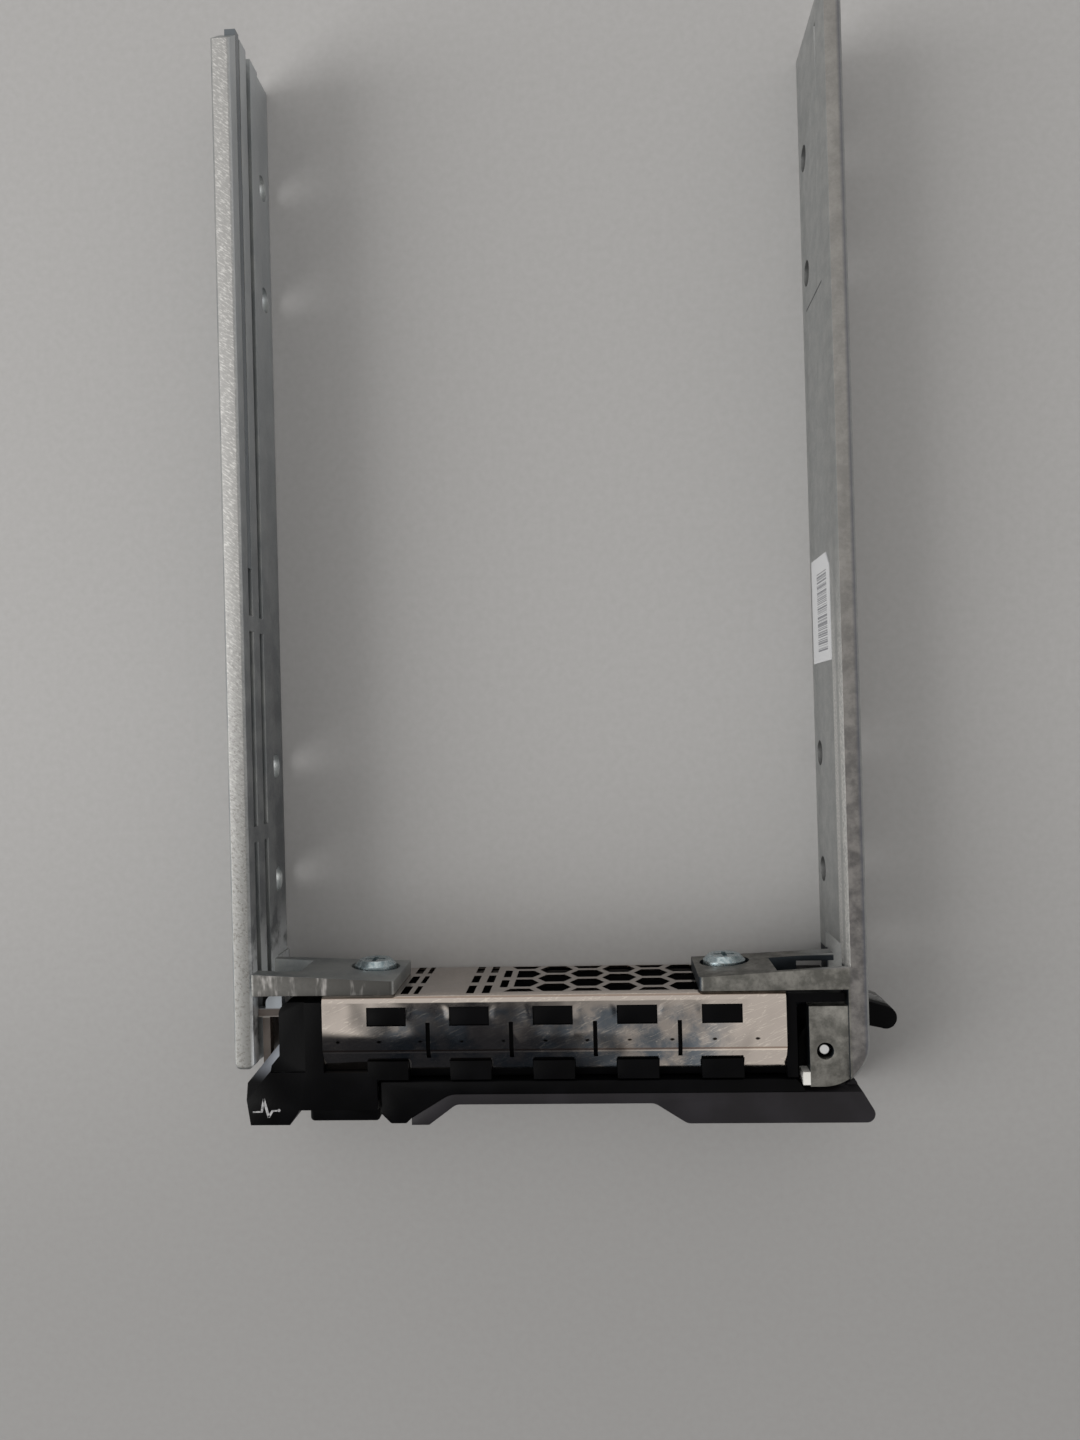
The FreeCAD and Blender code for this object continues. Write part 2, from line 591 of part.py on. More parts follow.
# ---- shield: a channel folded from one spring steel sheet ---------------------------------
shield = body_named("emi_shield")
lip_y = -(s.flange_depth + s.lip_run)
channel = [(lip_y, sheet_top - s.lip_fall), (-s.flange_depth, sheet_top),
           (-s.sheet_gap, sheet_top), (-s.sheet_gap, sheet_low), (-s.flange_depth, sheet_low),
           (lip_y, sheet_low + s.lip_fall), (lip_y, sheet_low + s.lip_fall + s.sheet),
           (-s.flange_depth, sheet_low + s.sheet), (web_front, sheet_low + s.sheet),
           (web_front, sheet_top - s.sheet), (-s.flange_depth, sheet_top - s.sheet),
           (lip_y, sheet_top - s.lip_fall - s.sheet)]
block(shield, "side", [channel], -s.shield_left, s.shield_right)
ease("Fillet", shield, s.sheet_bend, 0, [(-s.sheet_gap, sheet_top), (-s.sheet_gap, sheet_low)])
ease("Fillet", shield, s.sheet_bend - s.sheet, 0,
     [(web_front, sheet_top - s.sheet), (web_front, sheet_low + s.sheet)])
first_window = s.finger_centre - s.finger_pitch * 2
first_slit = first_window + s.finger_pitch / 2
WINDOWS, SLITS = 5, 4


def span(centre, width, y_low, y_high):
    return box(centre - width / 2, centre + width / 2, y_low, y_high)


for centre, width, front, rear, count in (
        (first_window, s.window_width, s.window_front, s.window_rear, WINDOWS),
        (first_slit, s.slit_width, s.slit_front, s.slit_rear, SLITS),
        (first_window, s.notch_width, -lip_y + past, s.notch_rear, WINDOWS)):
    opening = cut(shield, "top", [span(centre, width, -front, -rear)], -past, height + past)
    repeat(shield, opening, "H_Axis", s.finger_pitch, count)


def cell(x, z, left=None):
    """A honeycomb cell with level top and bottom; left squares off its left side."""
    flat, rise = s.cell_flat_top / 2, s.cell_flats / 2
    right = [(x + flat, z - rise), (x + s.cell_corners / 2, z), (x + flat, z + rise)]
    if left is not None:
        return right + [(left, z + rise), (left, z - rise)]
    return right + [(x - flat, z + rise), (x - s.cell_corners / 2, z), (x - flat, z - rise)]


def clipped_cell(x, side):
    """The part of an outermost cell that lies inside the perforated band."""
    centre = s.cell_pitch_z * 1.5
    reach = middle - s.vent_margin
    taper = (s.cell_corners - s.cell_flat_top) / 2 * ((centre - reach) / (s.cell_flats / 2))
    wide, flat = s.cell_corners / 2 - taper, s.cell_flat_top / 2
    outer, inner = middle + reach * side, middle + (centre - s.cell_flats / 2) * side
    return [(x - wide, outer), (x + wide, outer), (x + flat, inner), (x - flat, inner)]


def perforate(loops):
    return cut(shield, "front", loops, web_front - past, past)


full_x, offset_x = s.cell_first, s.cell_first + s.cell_pitch_x
half_x = s.cell_first - s.cell_pitch_x
FULL_COLUMNS, OFFSET_COLUMNS = 3, 2
column = perforate([cell(full_x, middle + s.cell_pitch_z * row) for row in (-1, 0, 1)])
repeat(shield, column, "H_Axis", s.cell_pitch_x * 2, FULL_COLUMNS)
column = perforate([cell(offset_x, middle + s.cell_pitch_z * row) for row in (-0.5, 0.5)]
                   + [clipped_cell(offset_x, side) for side in (-1, 1)])
repeat(shield, column, "H_Axis", s.cell_pitch_x * 2, OFFSET_COLUMNS)
perforate([cell(half_x, middle + s.cell_pitch_z * row, half_x - s.cell_corners / 5)
           for row in (-0.5, 0.5)] + [clipped_cell(half_x, side) for side in (-1, 1)])
narrow = [(s.slot_inner, s.slot_width, (-0.5, 0.5)), (s.slot_middle, s.slot_width, (-1, 0, 1)),
          (s.slot_outer, s.slot_width, (-1, 0, 1)), (s.slot_ear, s.slot_width, (-1, 0, 1)),
          (s.slot_thin, s.slot_thin_width, (-1, 0, 1))]
perforate([box(-x - width / 2, -x + width / 2,
               middle + s.slot_pitch_z * row - s.slot_height / 2,
               middle + s.slot_pitch_z * row + s.slot_height / 2)
           for x, width, rows in narrow for row in rows])
perforate([Round(screw_x * side, middle, s.screw_radius + s.screw_play) for side in (-1, 1)])

# ---- bezel body ---------------------------------------------------------------------
bezel = body_named("bezel_body")
body_rear = web_front - s.body_gap
inner_top = sheet_top - s.sheet - s.body_gap
inner_low = sheet_low + s.sheet + s.body_gap
ledge_top, ledge_low = height - s.panel_drop, s.panel_drop
panel_y = -s.panel_front
duct = [(body_rear - s.body_bevel, inner_low), (body_rear, inner_low + s.body_bevel),
        (body_rear, inner_top - s.body_bevel), (body_rear - s.body_bevel, inner_top),
        (-s.flange_depth, inner_top),
        (lip_y, inner_top - s.lip_fall), (lip_y, ledge_top), (panel_y, ledge_top),
        (panel_y, ledge_low), (lip_y, ledge_low), (lip_y, inner_low + s.lip_fall),
        (-s.flange_depth, inner_low)]
block_end = -s.shield_left - s.sheet_gap
block(bezel, "side", [duct], block_end, s.right_block)
house_right = -s.button_right
wing_left = rail_out - s.wing_inset
wing = [(-s.left_block, -s.wing_root), (-wing_left, -s.wing_shoulder),
        (-wing_left + s.wing_taper, -s.wing_front), (-s.wing_inner, -s.wing_front),
        (-s.wing_inner + s.wing_slope, -s.button_deck), (house_right, -s.button_deck),
        (house_right, lip_y - s.lug_fit), (-s.left_block + past, lip_y - s.lug_fit),
        (-s.left_block + past, -s.wing_root)]
block(bezel, "top", [wing], body_low, body_high)
slope_x = (wing[0][0] + wing[1][0]) / 2
slope_y = (wing[0][1] + wing[1][1]) / 2
ease_edges("Chamfer", bezel, s.wing_bevel,
           [f"Edge{number}" for number, edge in enumerate(bezel.Shape.Edges, 1)
            if abs(edge.CenterOfMass.x - slope_x.mm) < 0.01
            and abs(edge.CenterOfMass.y - slope_y.mm) < 0.01])
block(bezel, "top", [box(-s.left_block, block_end, lip_y - past, -s.block_rear)],
      body_low, body_high)
ease("Fillet", bezel, s.block_corner, 2, [(-s.left_block, -s.block_rear)])
for low, high in ((body_high - s.ridge_drop, body_high + past),
                  (body_low - past, body_low + s.ridge_drop)):
    cut(bezel, "top", [box(-s.left_block - past, -s.ridge_x, lip_y, past)], low, high)
side_rear = -s.block_rear
block(bezel, "top", [box(s.shield_right + s.sheet_gap, s.right_block, panel_y, side_rear)],
      body_low, body_high)
bar_plan = [box(s.right_block - past, half_gap - s.bar_gap, -s.bar_front, body_rear)]
block(bezel, "top", bar_plan, hub_high + s.swing_gap, body_high)
block(bezel, "top", bar_plan, body_low, hub_low - s.swing_gap)
cut(bezel, "front", [box(-s.duct_left, s.shield_right - s.body_wall,
                         inner_low + s.body_wall, inner_top - s.body_wall)],
    lip_y + s.body_wall, past)
block(bezel, "front", [Round(screw_x, middle, s.boss_radius)], lip_y, body_rear)
cut(bezel, "front", [Round(screw_x * side, middle, s.screw_radius) for side in (-1, 1)],
    -s.screw_length, past)


def both_skins(plan, outer, depth, count):
    """A row of lugs on the upper and the lower skin."""
    for low, high in ((outer - depth, outer), (height - outer, height - outer + depth)):
        row = block(bezel, "top", [plan], low, high)
        repeat(bezel, row, "H_Axis", s.finger_pitch, count)


both_skins(span(first_window, s.window_width - s.lug_fit * 2, -s.window_front + s.lug_fit,
                -s.window_rear - s.lug_fit), sheet_top - s.lug_fit, s.body_wall, WINDOWS)
both_skins(span(first_window, s.notch_width - s.lug_fit * 2, panel_y,
                -s.notch_rear - s.lug_fit), inner_top, s.body_wall * 2, WINDOWS)
pocket_half = s.button_height / 2 + s.button_play
button_x = -(s.button_left + s.button_right) / 2
button_rear = -(s.button_deck - s.button_depth)
room_rear = button_rear + s.button_room
pocket_left, pocket_right = -s.button_left - s.button_play, house_right + s.button_play
cut(bezel, "top", [box(pocket_left, pocket_right, -s.wing_front, -s.button_rim_front)],
    middle - pocket_half, middle + pocket_half)
cut(bezel, "top", [box(pocket_left, pocket_right, -s.button_rim_front, room_rear)],
    middle - pocket_half - s.button_flange, middle + pocket_half + s.button_flange)
cut(bezel, "front", [Round(button_x, middle, s.button_spring_radius + s.button_play)],
    room_rear, button_rear + s.button_spring_length)
VENTS, GRIP_VENTS = 7, 5


def vents(body, rear, front, count):
    """Air openings in line with one another through the panel, the arm and the handle."""
    opening = cut(body, "front", [span(-s.vent_left, s.vent_width, middle - s.vent_height / 2,
                                       middle + s.vent_height / 2)], -front - past, -rear + past)
    repeat(body, opening, "H_Axis", s.vent_pitch, count)


vents(bezel, -lip_y - s.body_wall, s.panel_front, VENTS)
pipe_half = s.pipe_width / 2
leg_left = -wing_left + s.lens_inset
leg_right = leg_left + s.lens_width
head_end = -s.left_block - s.lug_fit
PIPES = (("light_pipe_upper", s.upper_groove_height, s.head_rear, s.head_step),
         ("light_pipe_lower", s.lower_groove_height, s.head_step + s.lug_fit, s.head_front))
cut(bezel, "front", [box(leg_left - s.lug_fit, leg_right + s.lug_fit,
                         z - pipe_half - s.lug_fit, z + pipe_half + s.lug_fit)
                     for _, z, _, _ in PIPES], -s.wing_front - past, -s.wing_root)
cut(bezel, "top", [box(-wing_left, -s.left_block, -s.head_front - s.lug_fit, -s.wing_root)],
    s.lower_groove_height - pipe_half - s.lug_fit, s.lower_groove_height + pipe_half + s.lug_fit)

# ---- light pipes ---------------------------------------------------------------------
groove_floor = -half_gap - s.groove_depth
for label, z, head_rear, head_front in PIPES:
    pipe = body_named(label)
    low, high = z - pipe_half, z + pipe_half
    block(pipe, "top", [box(groove_floor, groove_floor + s.pipe_depth, -head_front,
                            s.rail_rear + s.pipe_tip)], low, high)
    elbow = [(groove_floor, -head_rear), (groove_floor, -head_front), (leg_left, -head_front),
             (leg_left, -s.wing_front), (leg_right, -s.wing_front), (leg_right, -head_front),
             (head_end, -head_front), (head_end, -head_rear)]
    block(pipe, "top", [elbow], low, high)
    if label == "light_pipe_upper":
        block(pipe, "top", [box(head_end - s.nose_width, head_end, -head_front, -s.nose_rear)],
              low, high)
        ease("Fillet", pipe, s.nose_round, 2, [(head_end - s.nose_width, -s.nose_rear)])
        block(pipe, "top", [box(groove_floor, -half_gap - s.sheet_gap, s.pipe_proud_front,
                                s.rail_rear + s.pipe_tip)], low, high)

# ---- release button -------------------------------------------------------------------
button = body_named("release_button")
button_low, button_high = middle - s.button_height / 2, middle + s.button_height / 2
block(button, "top", [box(-s.button_left, -s.button_right, -s.button_front, button_rear)],
      button_low, button_high)
ease("Fillet", button, s.button_round, 2,
     [(-s.button_left, -s.button_front), (-s.button_right, -s.button_front)])
block(button, "top", [box(-s.button_left, -s.button_right, -s.button_rim_front, button_rear)],
      button_low - s.button_flange, button_high + s.button_flange)

# ---- lever with its cam, and the handle on it ----------------------------------------------
lever = body_named("lever")
arm_y, face_y = -s.arm_rear, -s.arm_front
neck_left = pivot_x - s.hub_radius
clear = s.swing_gap
arm_plan = [(-s.catch_left, arm_y), (neck_left - clear * 3, arm_y),
            (lug_left - clear * 2, -s.lug_front - clear), (lug_left - clear * 2, face_y),
            (-s.grip_bend, face_y), (-s.grip_tip, -s.catch_front + s.catch_notch),
            (-s.grip_tip - s.catch_notch, -s.catch_front),
            (-s.catch_left + s.catch_bevel, -s.catch_front),
            (-s.catch_left, -s.catch_front + s.catch_bevel)]
block(lever, "top", [arm_plan], s.arm_bottom, arm_high)
ease("Fillet", lever, s.grip_bend_round, 2, [(-s.grip_bend, face_y)])
block(lever, "top", [box(neck_left, pivot_x + s.neck_right, face_y, pivot_y)], hub_low, hub_high)
block(lever, "top", [Round(pivot_x, pivot_y, s.hub_radius)], hub_low, hub_high)
cam_low, cam_high = hub_low + s.cam_inset, hub_high - s.cam_inset
TIP_REAR, TIP_SIDE = 0.93, 0.37
cam_plan = [(pivot_x, pivot_y + s.cam_root_width), (s.cam_shoulder_x, -s.cam_shoulder_y),
            (s.cam_tip_x + s.cam_tip_radius * TIP_SIDE,
             -s.cam_tip_y + s.cam_tip_radius * TIP_REAR),
            (s.cam_tip_x, -s.cam_tip_y - s.cam_tip_radius), (s.cam_shoulder_x, -s.cam_belly_y),
            (pivot_x, pivot_y - s.cam_root_width)]
block(lever, "top", [cam_plan], cam_low, cam_high)
block(lever, "top", [Round(s.cam_tip_x, -s.cam_tip_y, s.cam_tip_radius)], cam_low, cam_high)
proud = s.cam_plate_proud
plate_plan = [(pivot_x + s.neck_right, pivot_y + s.cam_root_width / 2),
              (pivot_x + s.neck_right, pivot_y + s.cam_root_width + proud),
              (s.cam_shoulder_x, -s.cam_shoulder_y + proud),
              (s.cam_tip_x - s.cam_tip_radius * TIP_SIDE / 2,
               -s.cam_tip_y + s.cam_tip_radius + proud),
              (s.cam_tip_x + s.cam_tip_radius * TIP_REAR, -s.cam_tip_y + s.cam_tip_radius / 2),
              (s.cam_tip_x, -s.cam_tip_y - s.cam_tip_radius / 2)]
plate_low = middle - s.cam_plate_thickness / 2
plate_high = middle + s.cam_plate_thickness / 2
cut(lever, "top", [plate_plan], plate_low, plate_high)
cut(lever, "top", [Round(pivot_x, pivot_y, s.pin_radius + s.pin_play)], -past, height + past)
coil_low, coil_high = hub_low, hub_low + s.coil_height
cut(lever, "top", [Round(pivot_x, pivot_y, s.coil_radius + s.coil_play),
                   Round(pivot_x, pivot_y, s.coil_radius - s.coil_wire - s.coil_play)],
    coil_low, coil_high)
vents(lever, s.arm_rear, s.arm_front, VENTS)

cam_plate = body_named("cam_plate")
block(cam_plate, "top", [plate_plan], plate_low, plate_high)

handle = body_named("handle")
grip_plan = [(-s.grip_bend, face_y), (s.grip_right_rear, face_y), (s.grip_right, -s.grip_deep),
             (s.grip_step_end, -s.grip_deep), (s.grip_step, -s.grip_front),
             (-s.grip_bend_front, -s.grip_front),
             (-s.grip_tip + s.grip_tip_width, -s.grip_deep), (-s.grip_tip, -s.grip_deep),
             (-s.grip_tip, -s.catch_front + s.catch_notch)]
block(handle, "top", [grip_plan], s.arm_bottom, arm_high)
ease("Fillet", handle, s.grip_round, 2, [(s.grip_right, -s.grip_deep)])
ease("Fillet", handle, s.grip_bend_round, 2, [(-s.grip_bend, face_y)])
ease("Fillet", handle, s.grip_front_round, 2,
     [(-s.grip_bend_front, -s.grip_front), (s.grip_step, -s.grip_front),
      (s.grip_step_end, -s.grip_deep)])
wedge_start = root(s.wedge_radius * s.wedge_radius
                   - (s.arm_front - s.pivot_front) * (s.arm_front - s.pivot_front))
wedge_end_y = pivot_y - root(s.wedge_radius * s.wedge_radius - s.wedge_reach * s.wedge_reach)
wedge_plan = [(pivot_x + wedge_start, face_y),
              Bend(pivot_x, pivot_y, pivot_x + s.wedge_reach, wedge_end_y, "x"),
              (s.grip_right_rear, face_y)]
block(handle, "top", [wedge_plan], hub_low, hub_high)
ease("Fillet", handle, s.wedge_round, 2, [(pivot_x + s.wedge_reach, wedge_end_y)])
vents(handle, s.arm_front, s.grip_deep, GRIP_VENTS)

pin = body_named("pivot_pin")
pin_low, pin_high = s.lug_drop + s.pin_recess, height - s.lug_drop - s.pin_recess
block(pin, "top", [Round(pivot_x, pivot_y, s.pin_radius)], pin_low, pin_high)
ease_edges("Chamfer", pin, s.pin_bevel,
           rims_at(pin.Shape, 2, pin_low) + rims_at(pin.Shape, 2, pin_high))

nylon = body_named("lever_stop")
pad_top = height - s.lug_drop
block(nylon, "top", [box(lug_left - s.pad_width, lug_left, -s.pad_front,
                         -s.pad_front + s.pad_length)], pad_top - s.pad_rise, pad_top)

# ---- screws ---------------------------------------------------------------------------
head_top = screw_seat + s.screw_head_height
for label, side in (("ear_screw_left", -1), ("ear_screw_right", 1)):
    screw = body_named(label)
    x = screw_x * side
    block(screw, "front", [Round(x, middle, s.screw_radius)],
          screw_seat - s.screw_length, screw_seat)
    block(screw, "front", [Round(x, middle, s.screw_head_radius)], screw_seat, head_top)
    ease_edges("Chamfer", screw, s.screw_head_bevel, rims_at(screw.Shape, 1, head_top))
    for wide, tall in ((s.recess_length, s.recess_width), (s.recess_width, s.recess_length)):
        cut(screw, "front", [box(x - wide / 2, x + wide / 2, middle - tall / 2,
                                 middle + tall / 2)], head_top - s.recess_depth, head_top + past)

# ---- label on the right rail ---------------------------------------------------------------
label_film = body_named("rail_label")
label_rear = s.label_front + s.label_length
label_top = s.label_bottom + s.label_height
label_plan = [(s.label_front, s.label_bottom), (label_rear, s.label_bottom),
              (label_rear, label_top - s.label_corner), (label_rear - s.label_corner, label_top),
              (s.label_front, label_top)]
block(label_film, "side", [label_plan], half_gap - s.label_film, half_gap)


# ---- springs ------------------------------------------------------------------------------
def coil(label, radius, wire, length, turns, place, turned):
    """A spring wound up from its foot, then set in its place; radius is its outer radius."""
    spring = body_named(label)
    section = box(radius - wire, radius, ZERO, wire)
    sketch = sketch_on(spring, "front", ZERO, [section])
    winding = spring.newObject("PartDesign::AdditiveHelix", label + "_winding")
    winding.Profile = sketch
    winding.ReferenceAxis = (sketch, ["V_Axis"])
    winding.Mode = "height-turns-angle"
    winding.setExpression("Height", (length - wire).text)
    winding.setExpression("Turns", turns.text)
    sketch.Visibility = False
    spring.Tip = winding
    spring.Placement.Rotation = turned
    for axis, size in zip("xyz", place):
        spring.setExpression(f"Placement.Base.{axis}", size.text)
    doc.recompute()


coil("lever_spring", s.coil_radius, s.coil_wire, s.coil_height - s.coil_play, s.coil_turns,
     (pivot_x, pivot_y, coil_low), FreeCAD.Rotation())
coil("button_spring", s.button_spring_radius, s.button_wire, s.button_spring_length,
     s.button_spring_turns, (button_x, button_rear, middle),
     FreeCAD.Rotation(FreeCAD.Vector(1, 0, 0), -90))

# ---- check and save -------------------------------------------------------------------
doc.recompute()
for thing in doc.Objects:
    if "Invalid" in thing.State or "Error" in thing.State:
        raise ValueError(f"{thing.Label} did not recompute")
os.makedirs("parts", exist_ok=True)
for part in SOLIDS:
    if part.Shape.isNull() or not part.Shape.isValid():
        raise ValueError(f"{part.Label} has no valid shape")
    part.Shape.exportStep(f"parts/{part.Label}.step")
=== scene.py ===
import math

import bmesh
import bpy
from bpy.props import FloatProperty, FloatVectorProperty, PointerProperty
from mathutils import Matrix, Vector


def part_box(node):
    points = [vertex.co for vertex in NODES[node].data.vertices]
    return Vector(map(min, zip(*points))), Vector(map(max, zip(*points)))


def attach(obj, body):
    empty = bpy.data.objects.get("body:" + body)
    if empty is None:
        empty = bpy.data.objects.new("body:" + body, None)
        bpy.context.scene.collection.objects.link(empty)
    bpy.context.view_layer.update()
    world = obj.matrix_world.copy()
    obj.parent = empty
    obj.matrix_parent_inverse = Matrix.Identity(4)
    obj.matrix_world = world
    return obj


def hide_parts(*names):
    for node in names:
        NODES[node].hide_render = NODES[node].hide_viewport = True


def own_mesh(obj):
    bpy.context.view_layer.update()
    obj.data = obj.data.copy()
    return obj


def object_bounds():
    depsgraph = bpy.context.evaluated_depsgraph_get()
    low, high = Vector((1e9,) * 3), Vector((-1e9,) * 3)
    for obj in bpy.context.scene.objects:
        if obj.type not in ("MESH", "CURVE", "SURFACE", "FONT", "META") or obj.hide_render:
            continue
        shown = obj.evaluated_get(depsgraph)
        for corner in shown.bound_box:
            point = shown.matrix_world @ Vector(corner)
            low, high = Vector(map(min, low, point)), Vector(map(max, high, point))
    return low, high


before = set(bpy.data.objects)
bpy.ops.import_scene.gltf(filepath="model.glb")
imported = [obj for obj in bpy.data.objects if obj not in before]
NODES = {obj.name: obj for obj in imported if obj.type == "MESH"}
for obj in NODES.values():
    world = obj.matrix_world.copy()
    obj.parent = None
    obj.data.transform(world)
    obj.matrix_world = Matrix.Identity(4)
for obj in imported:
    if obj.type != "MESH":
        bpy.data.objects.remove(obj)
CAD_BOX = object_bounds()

bl_info = {
    "name": "Drive caddy looks",
    "version": (1, 0, 0),
    "blender": (4, 5, 0),
    "location": "3D View > Sidebar > Caddy",
    "description": "Finishes and fine detail of a hot swap drive caddy",
    "category": "Object",
}

MM = 0.001
LEFT_LOW, LEFT_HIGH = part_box("left_rail")
RIGHT_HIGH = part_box("right_rail")[1]
BEZEL_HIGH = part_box("bezel_body")[1]
LABEL_LOW, LABEL_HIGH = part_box("rail_label")
RAIL_TOP = LEFT_HIGH.z
MIDDLE = RAIL_TOP / 2
RAIL_WALL = 2.35 * MM          # a rail's thickness
FINGER_PITCH = 9.96 * MM       # from slit to slit in the shield
FINGER_CENTRE = 0.78 * MM      # the middle of the row of slits
SPOT_CENTRE = -0.15 * MM       # one of the burnt spots, which come twice a pitch
WING_DROP = 0.35 * MM          # the wing's top lies this far under the bezel's
INK = 0.03 * MM                # thickness of the printed mark
WELD = 0.002 * MM              # points closer than this are one
FLAT = math.radians(0.6)       # faces that turn less than this are one
BEVELLED = math.radians(28)    # edges sharper than this are rounded off
CREASED = math.radians(32)     # edges sharper than this stay creased in the shading

# the stage, in metres, with the lens and the sensor in millimetres and the turns in degrees
TABLE_HALF, TABLE_GAP = 3.0, 0.02 * MM
LAMP_PLACE, LAMP_AIM = Vector((-0.85, -0.2, 0.52)), Vector((0, 0.05, 0))
LAMP_SIZE, LAMP_COLOUR = (0.7, 0.9), (1.0, 0.99, 0.97)
CAMERA_PLACE = Vector((7.57, 31.35, 144.23)) * MM
CAMERA_TURNS = ((-1.503, "Z"), (3.292, "Y"), (0.345, "X"))
CAMERA_LENS, CAMERA_SENSOR, CAMERA_NEAR = 27.14, 36.0, 0.005
# the pulse line's corners, and the width of the stroke that starts at each, in millimetres
PULSE = ((-35.64, -14.02, 0.18), (-34.61, -13.94, 0.26), (-34.34, -12.49, 0.3),
         (-33.76, -14.6, 0.26), (-33.31, -13.89, 0.18), (-32.51, -13.81, 0.18))
# black plastic: its colour, its clouds' colour, roughness, gloss, and grain in millimetres
BLACK_ABS = ("050506", "08080A", 0.4, 0.05, 0.25)
NOISE_SPAN = (0.3, 0.7)        # nearly all of a noise pattern lies between these
PATCHES = (0.35, 0.68)         # where in it a stain starts and where it is full
UPWARD = (0.6, 0.95)           # a normal's height where a face starts to look up, and does
MATERIALS = {}

SMOOTH = {"interpolation_type": "SMOOTHSTEP"}
RGBA = {"data_type": "RGBA"}
TIMES = {"operation": "MULTIPLY"}
PLUS = {"operation": "ADD"}


# ---- colours and nodes --------------------------------------------------------------
def colour(hex_code):
    """An sRGB hex colour as linear red, green, blue and alpha."""
    parts = [int(hex_code[i:i + 2], 16) / 255 for i in (0, 2, 4)]
    linear = [c / 12.92 if c <= 0.04045 else ((c + 0.055) / 1.055) ** 2.4 for c in parts]
    return (*linear, 1.0)


def add(tree, kind, inputs, out=0, **settings):
    """Adds a node, sets it up, fills or links its inputs and gives one of its outputs."""
    node = tree.nodes.new("ShaderNode" + kind)
    for name, value in settings.items():
        setattr(node, name, value)
    for key, value in inputs.items() if isinstance(inputs, dict) else enumerate(inputs):
        if isinstance(value, bpy.types.NodeSocket):
            tree.links.new(value, node.inputs[key])
        else:
            node.inputs[key].default_value = value
    return node.outputs[out]


def fade(value, none, full):
    """A smooth share, 0 at none and 1 at full."""
    share = min(1.0, max(0.0, (value - none) / (full - none)))
    return share * share * (3 - 2 * share)


def surface(name, **shader):
    """A new material: its tree, its Principled shader and the place on the piece."""
    material = bpy.data.materials.new(name)
    material.use_nodes = True
    MATERIALS[name] = material
    tree = material.node_tree
    bsdf = tree.nodes["Principled BSDF"]
    for key, value in shader.items():
        bsdf.inputs[key.replace("_", " ")].default_value = value
    return tree, bsdf, add(tree, "TexCoord", {}, "Object")


def wire(tree, bsdf, **sockets):
    """Links worked-out values to the shader's inputs."""
    for name, socket in sockets.items():
        tree.links.new(socket, bsdf.inputs[name.replace("_", " ")])


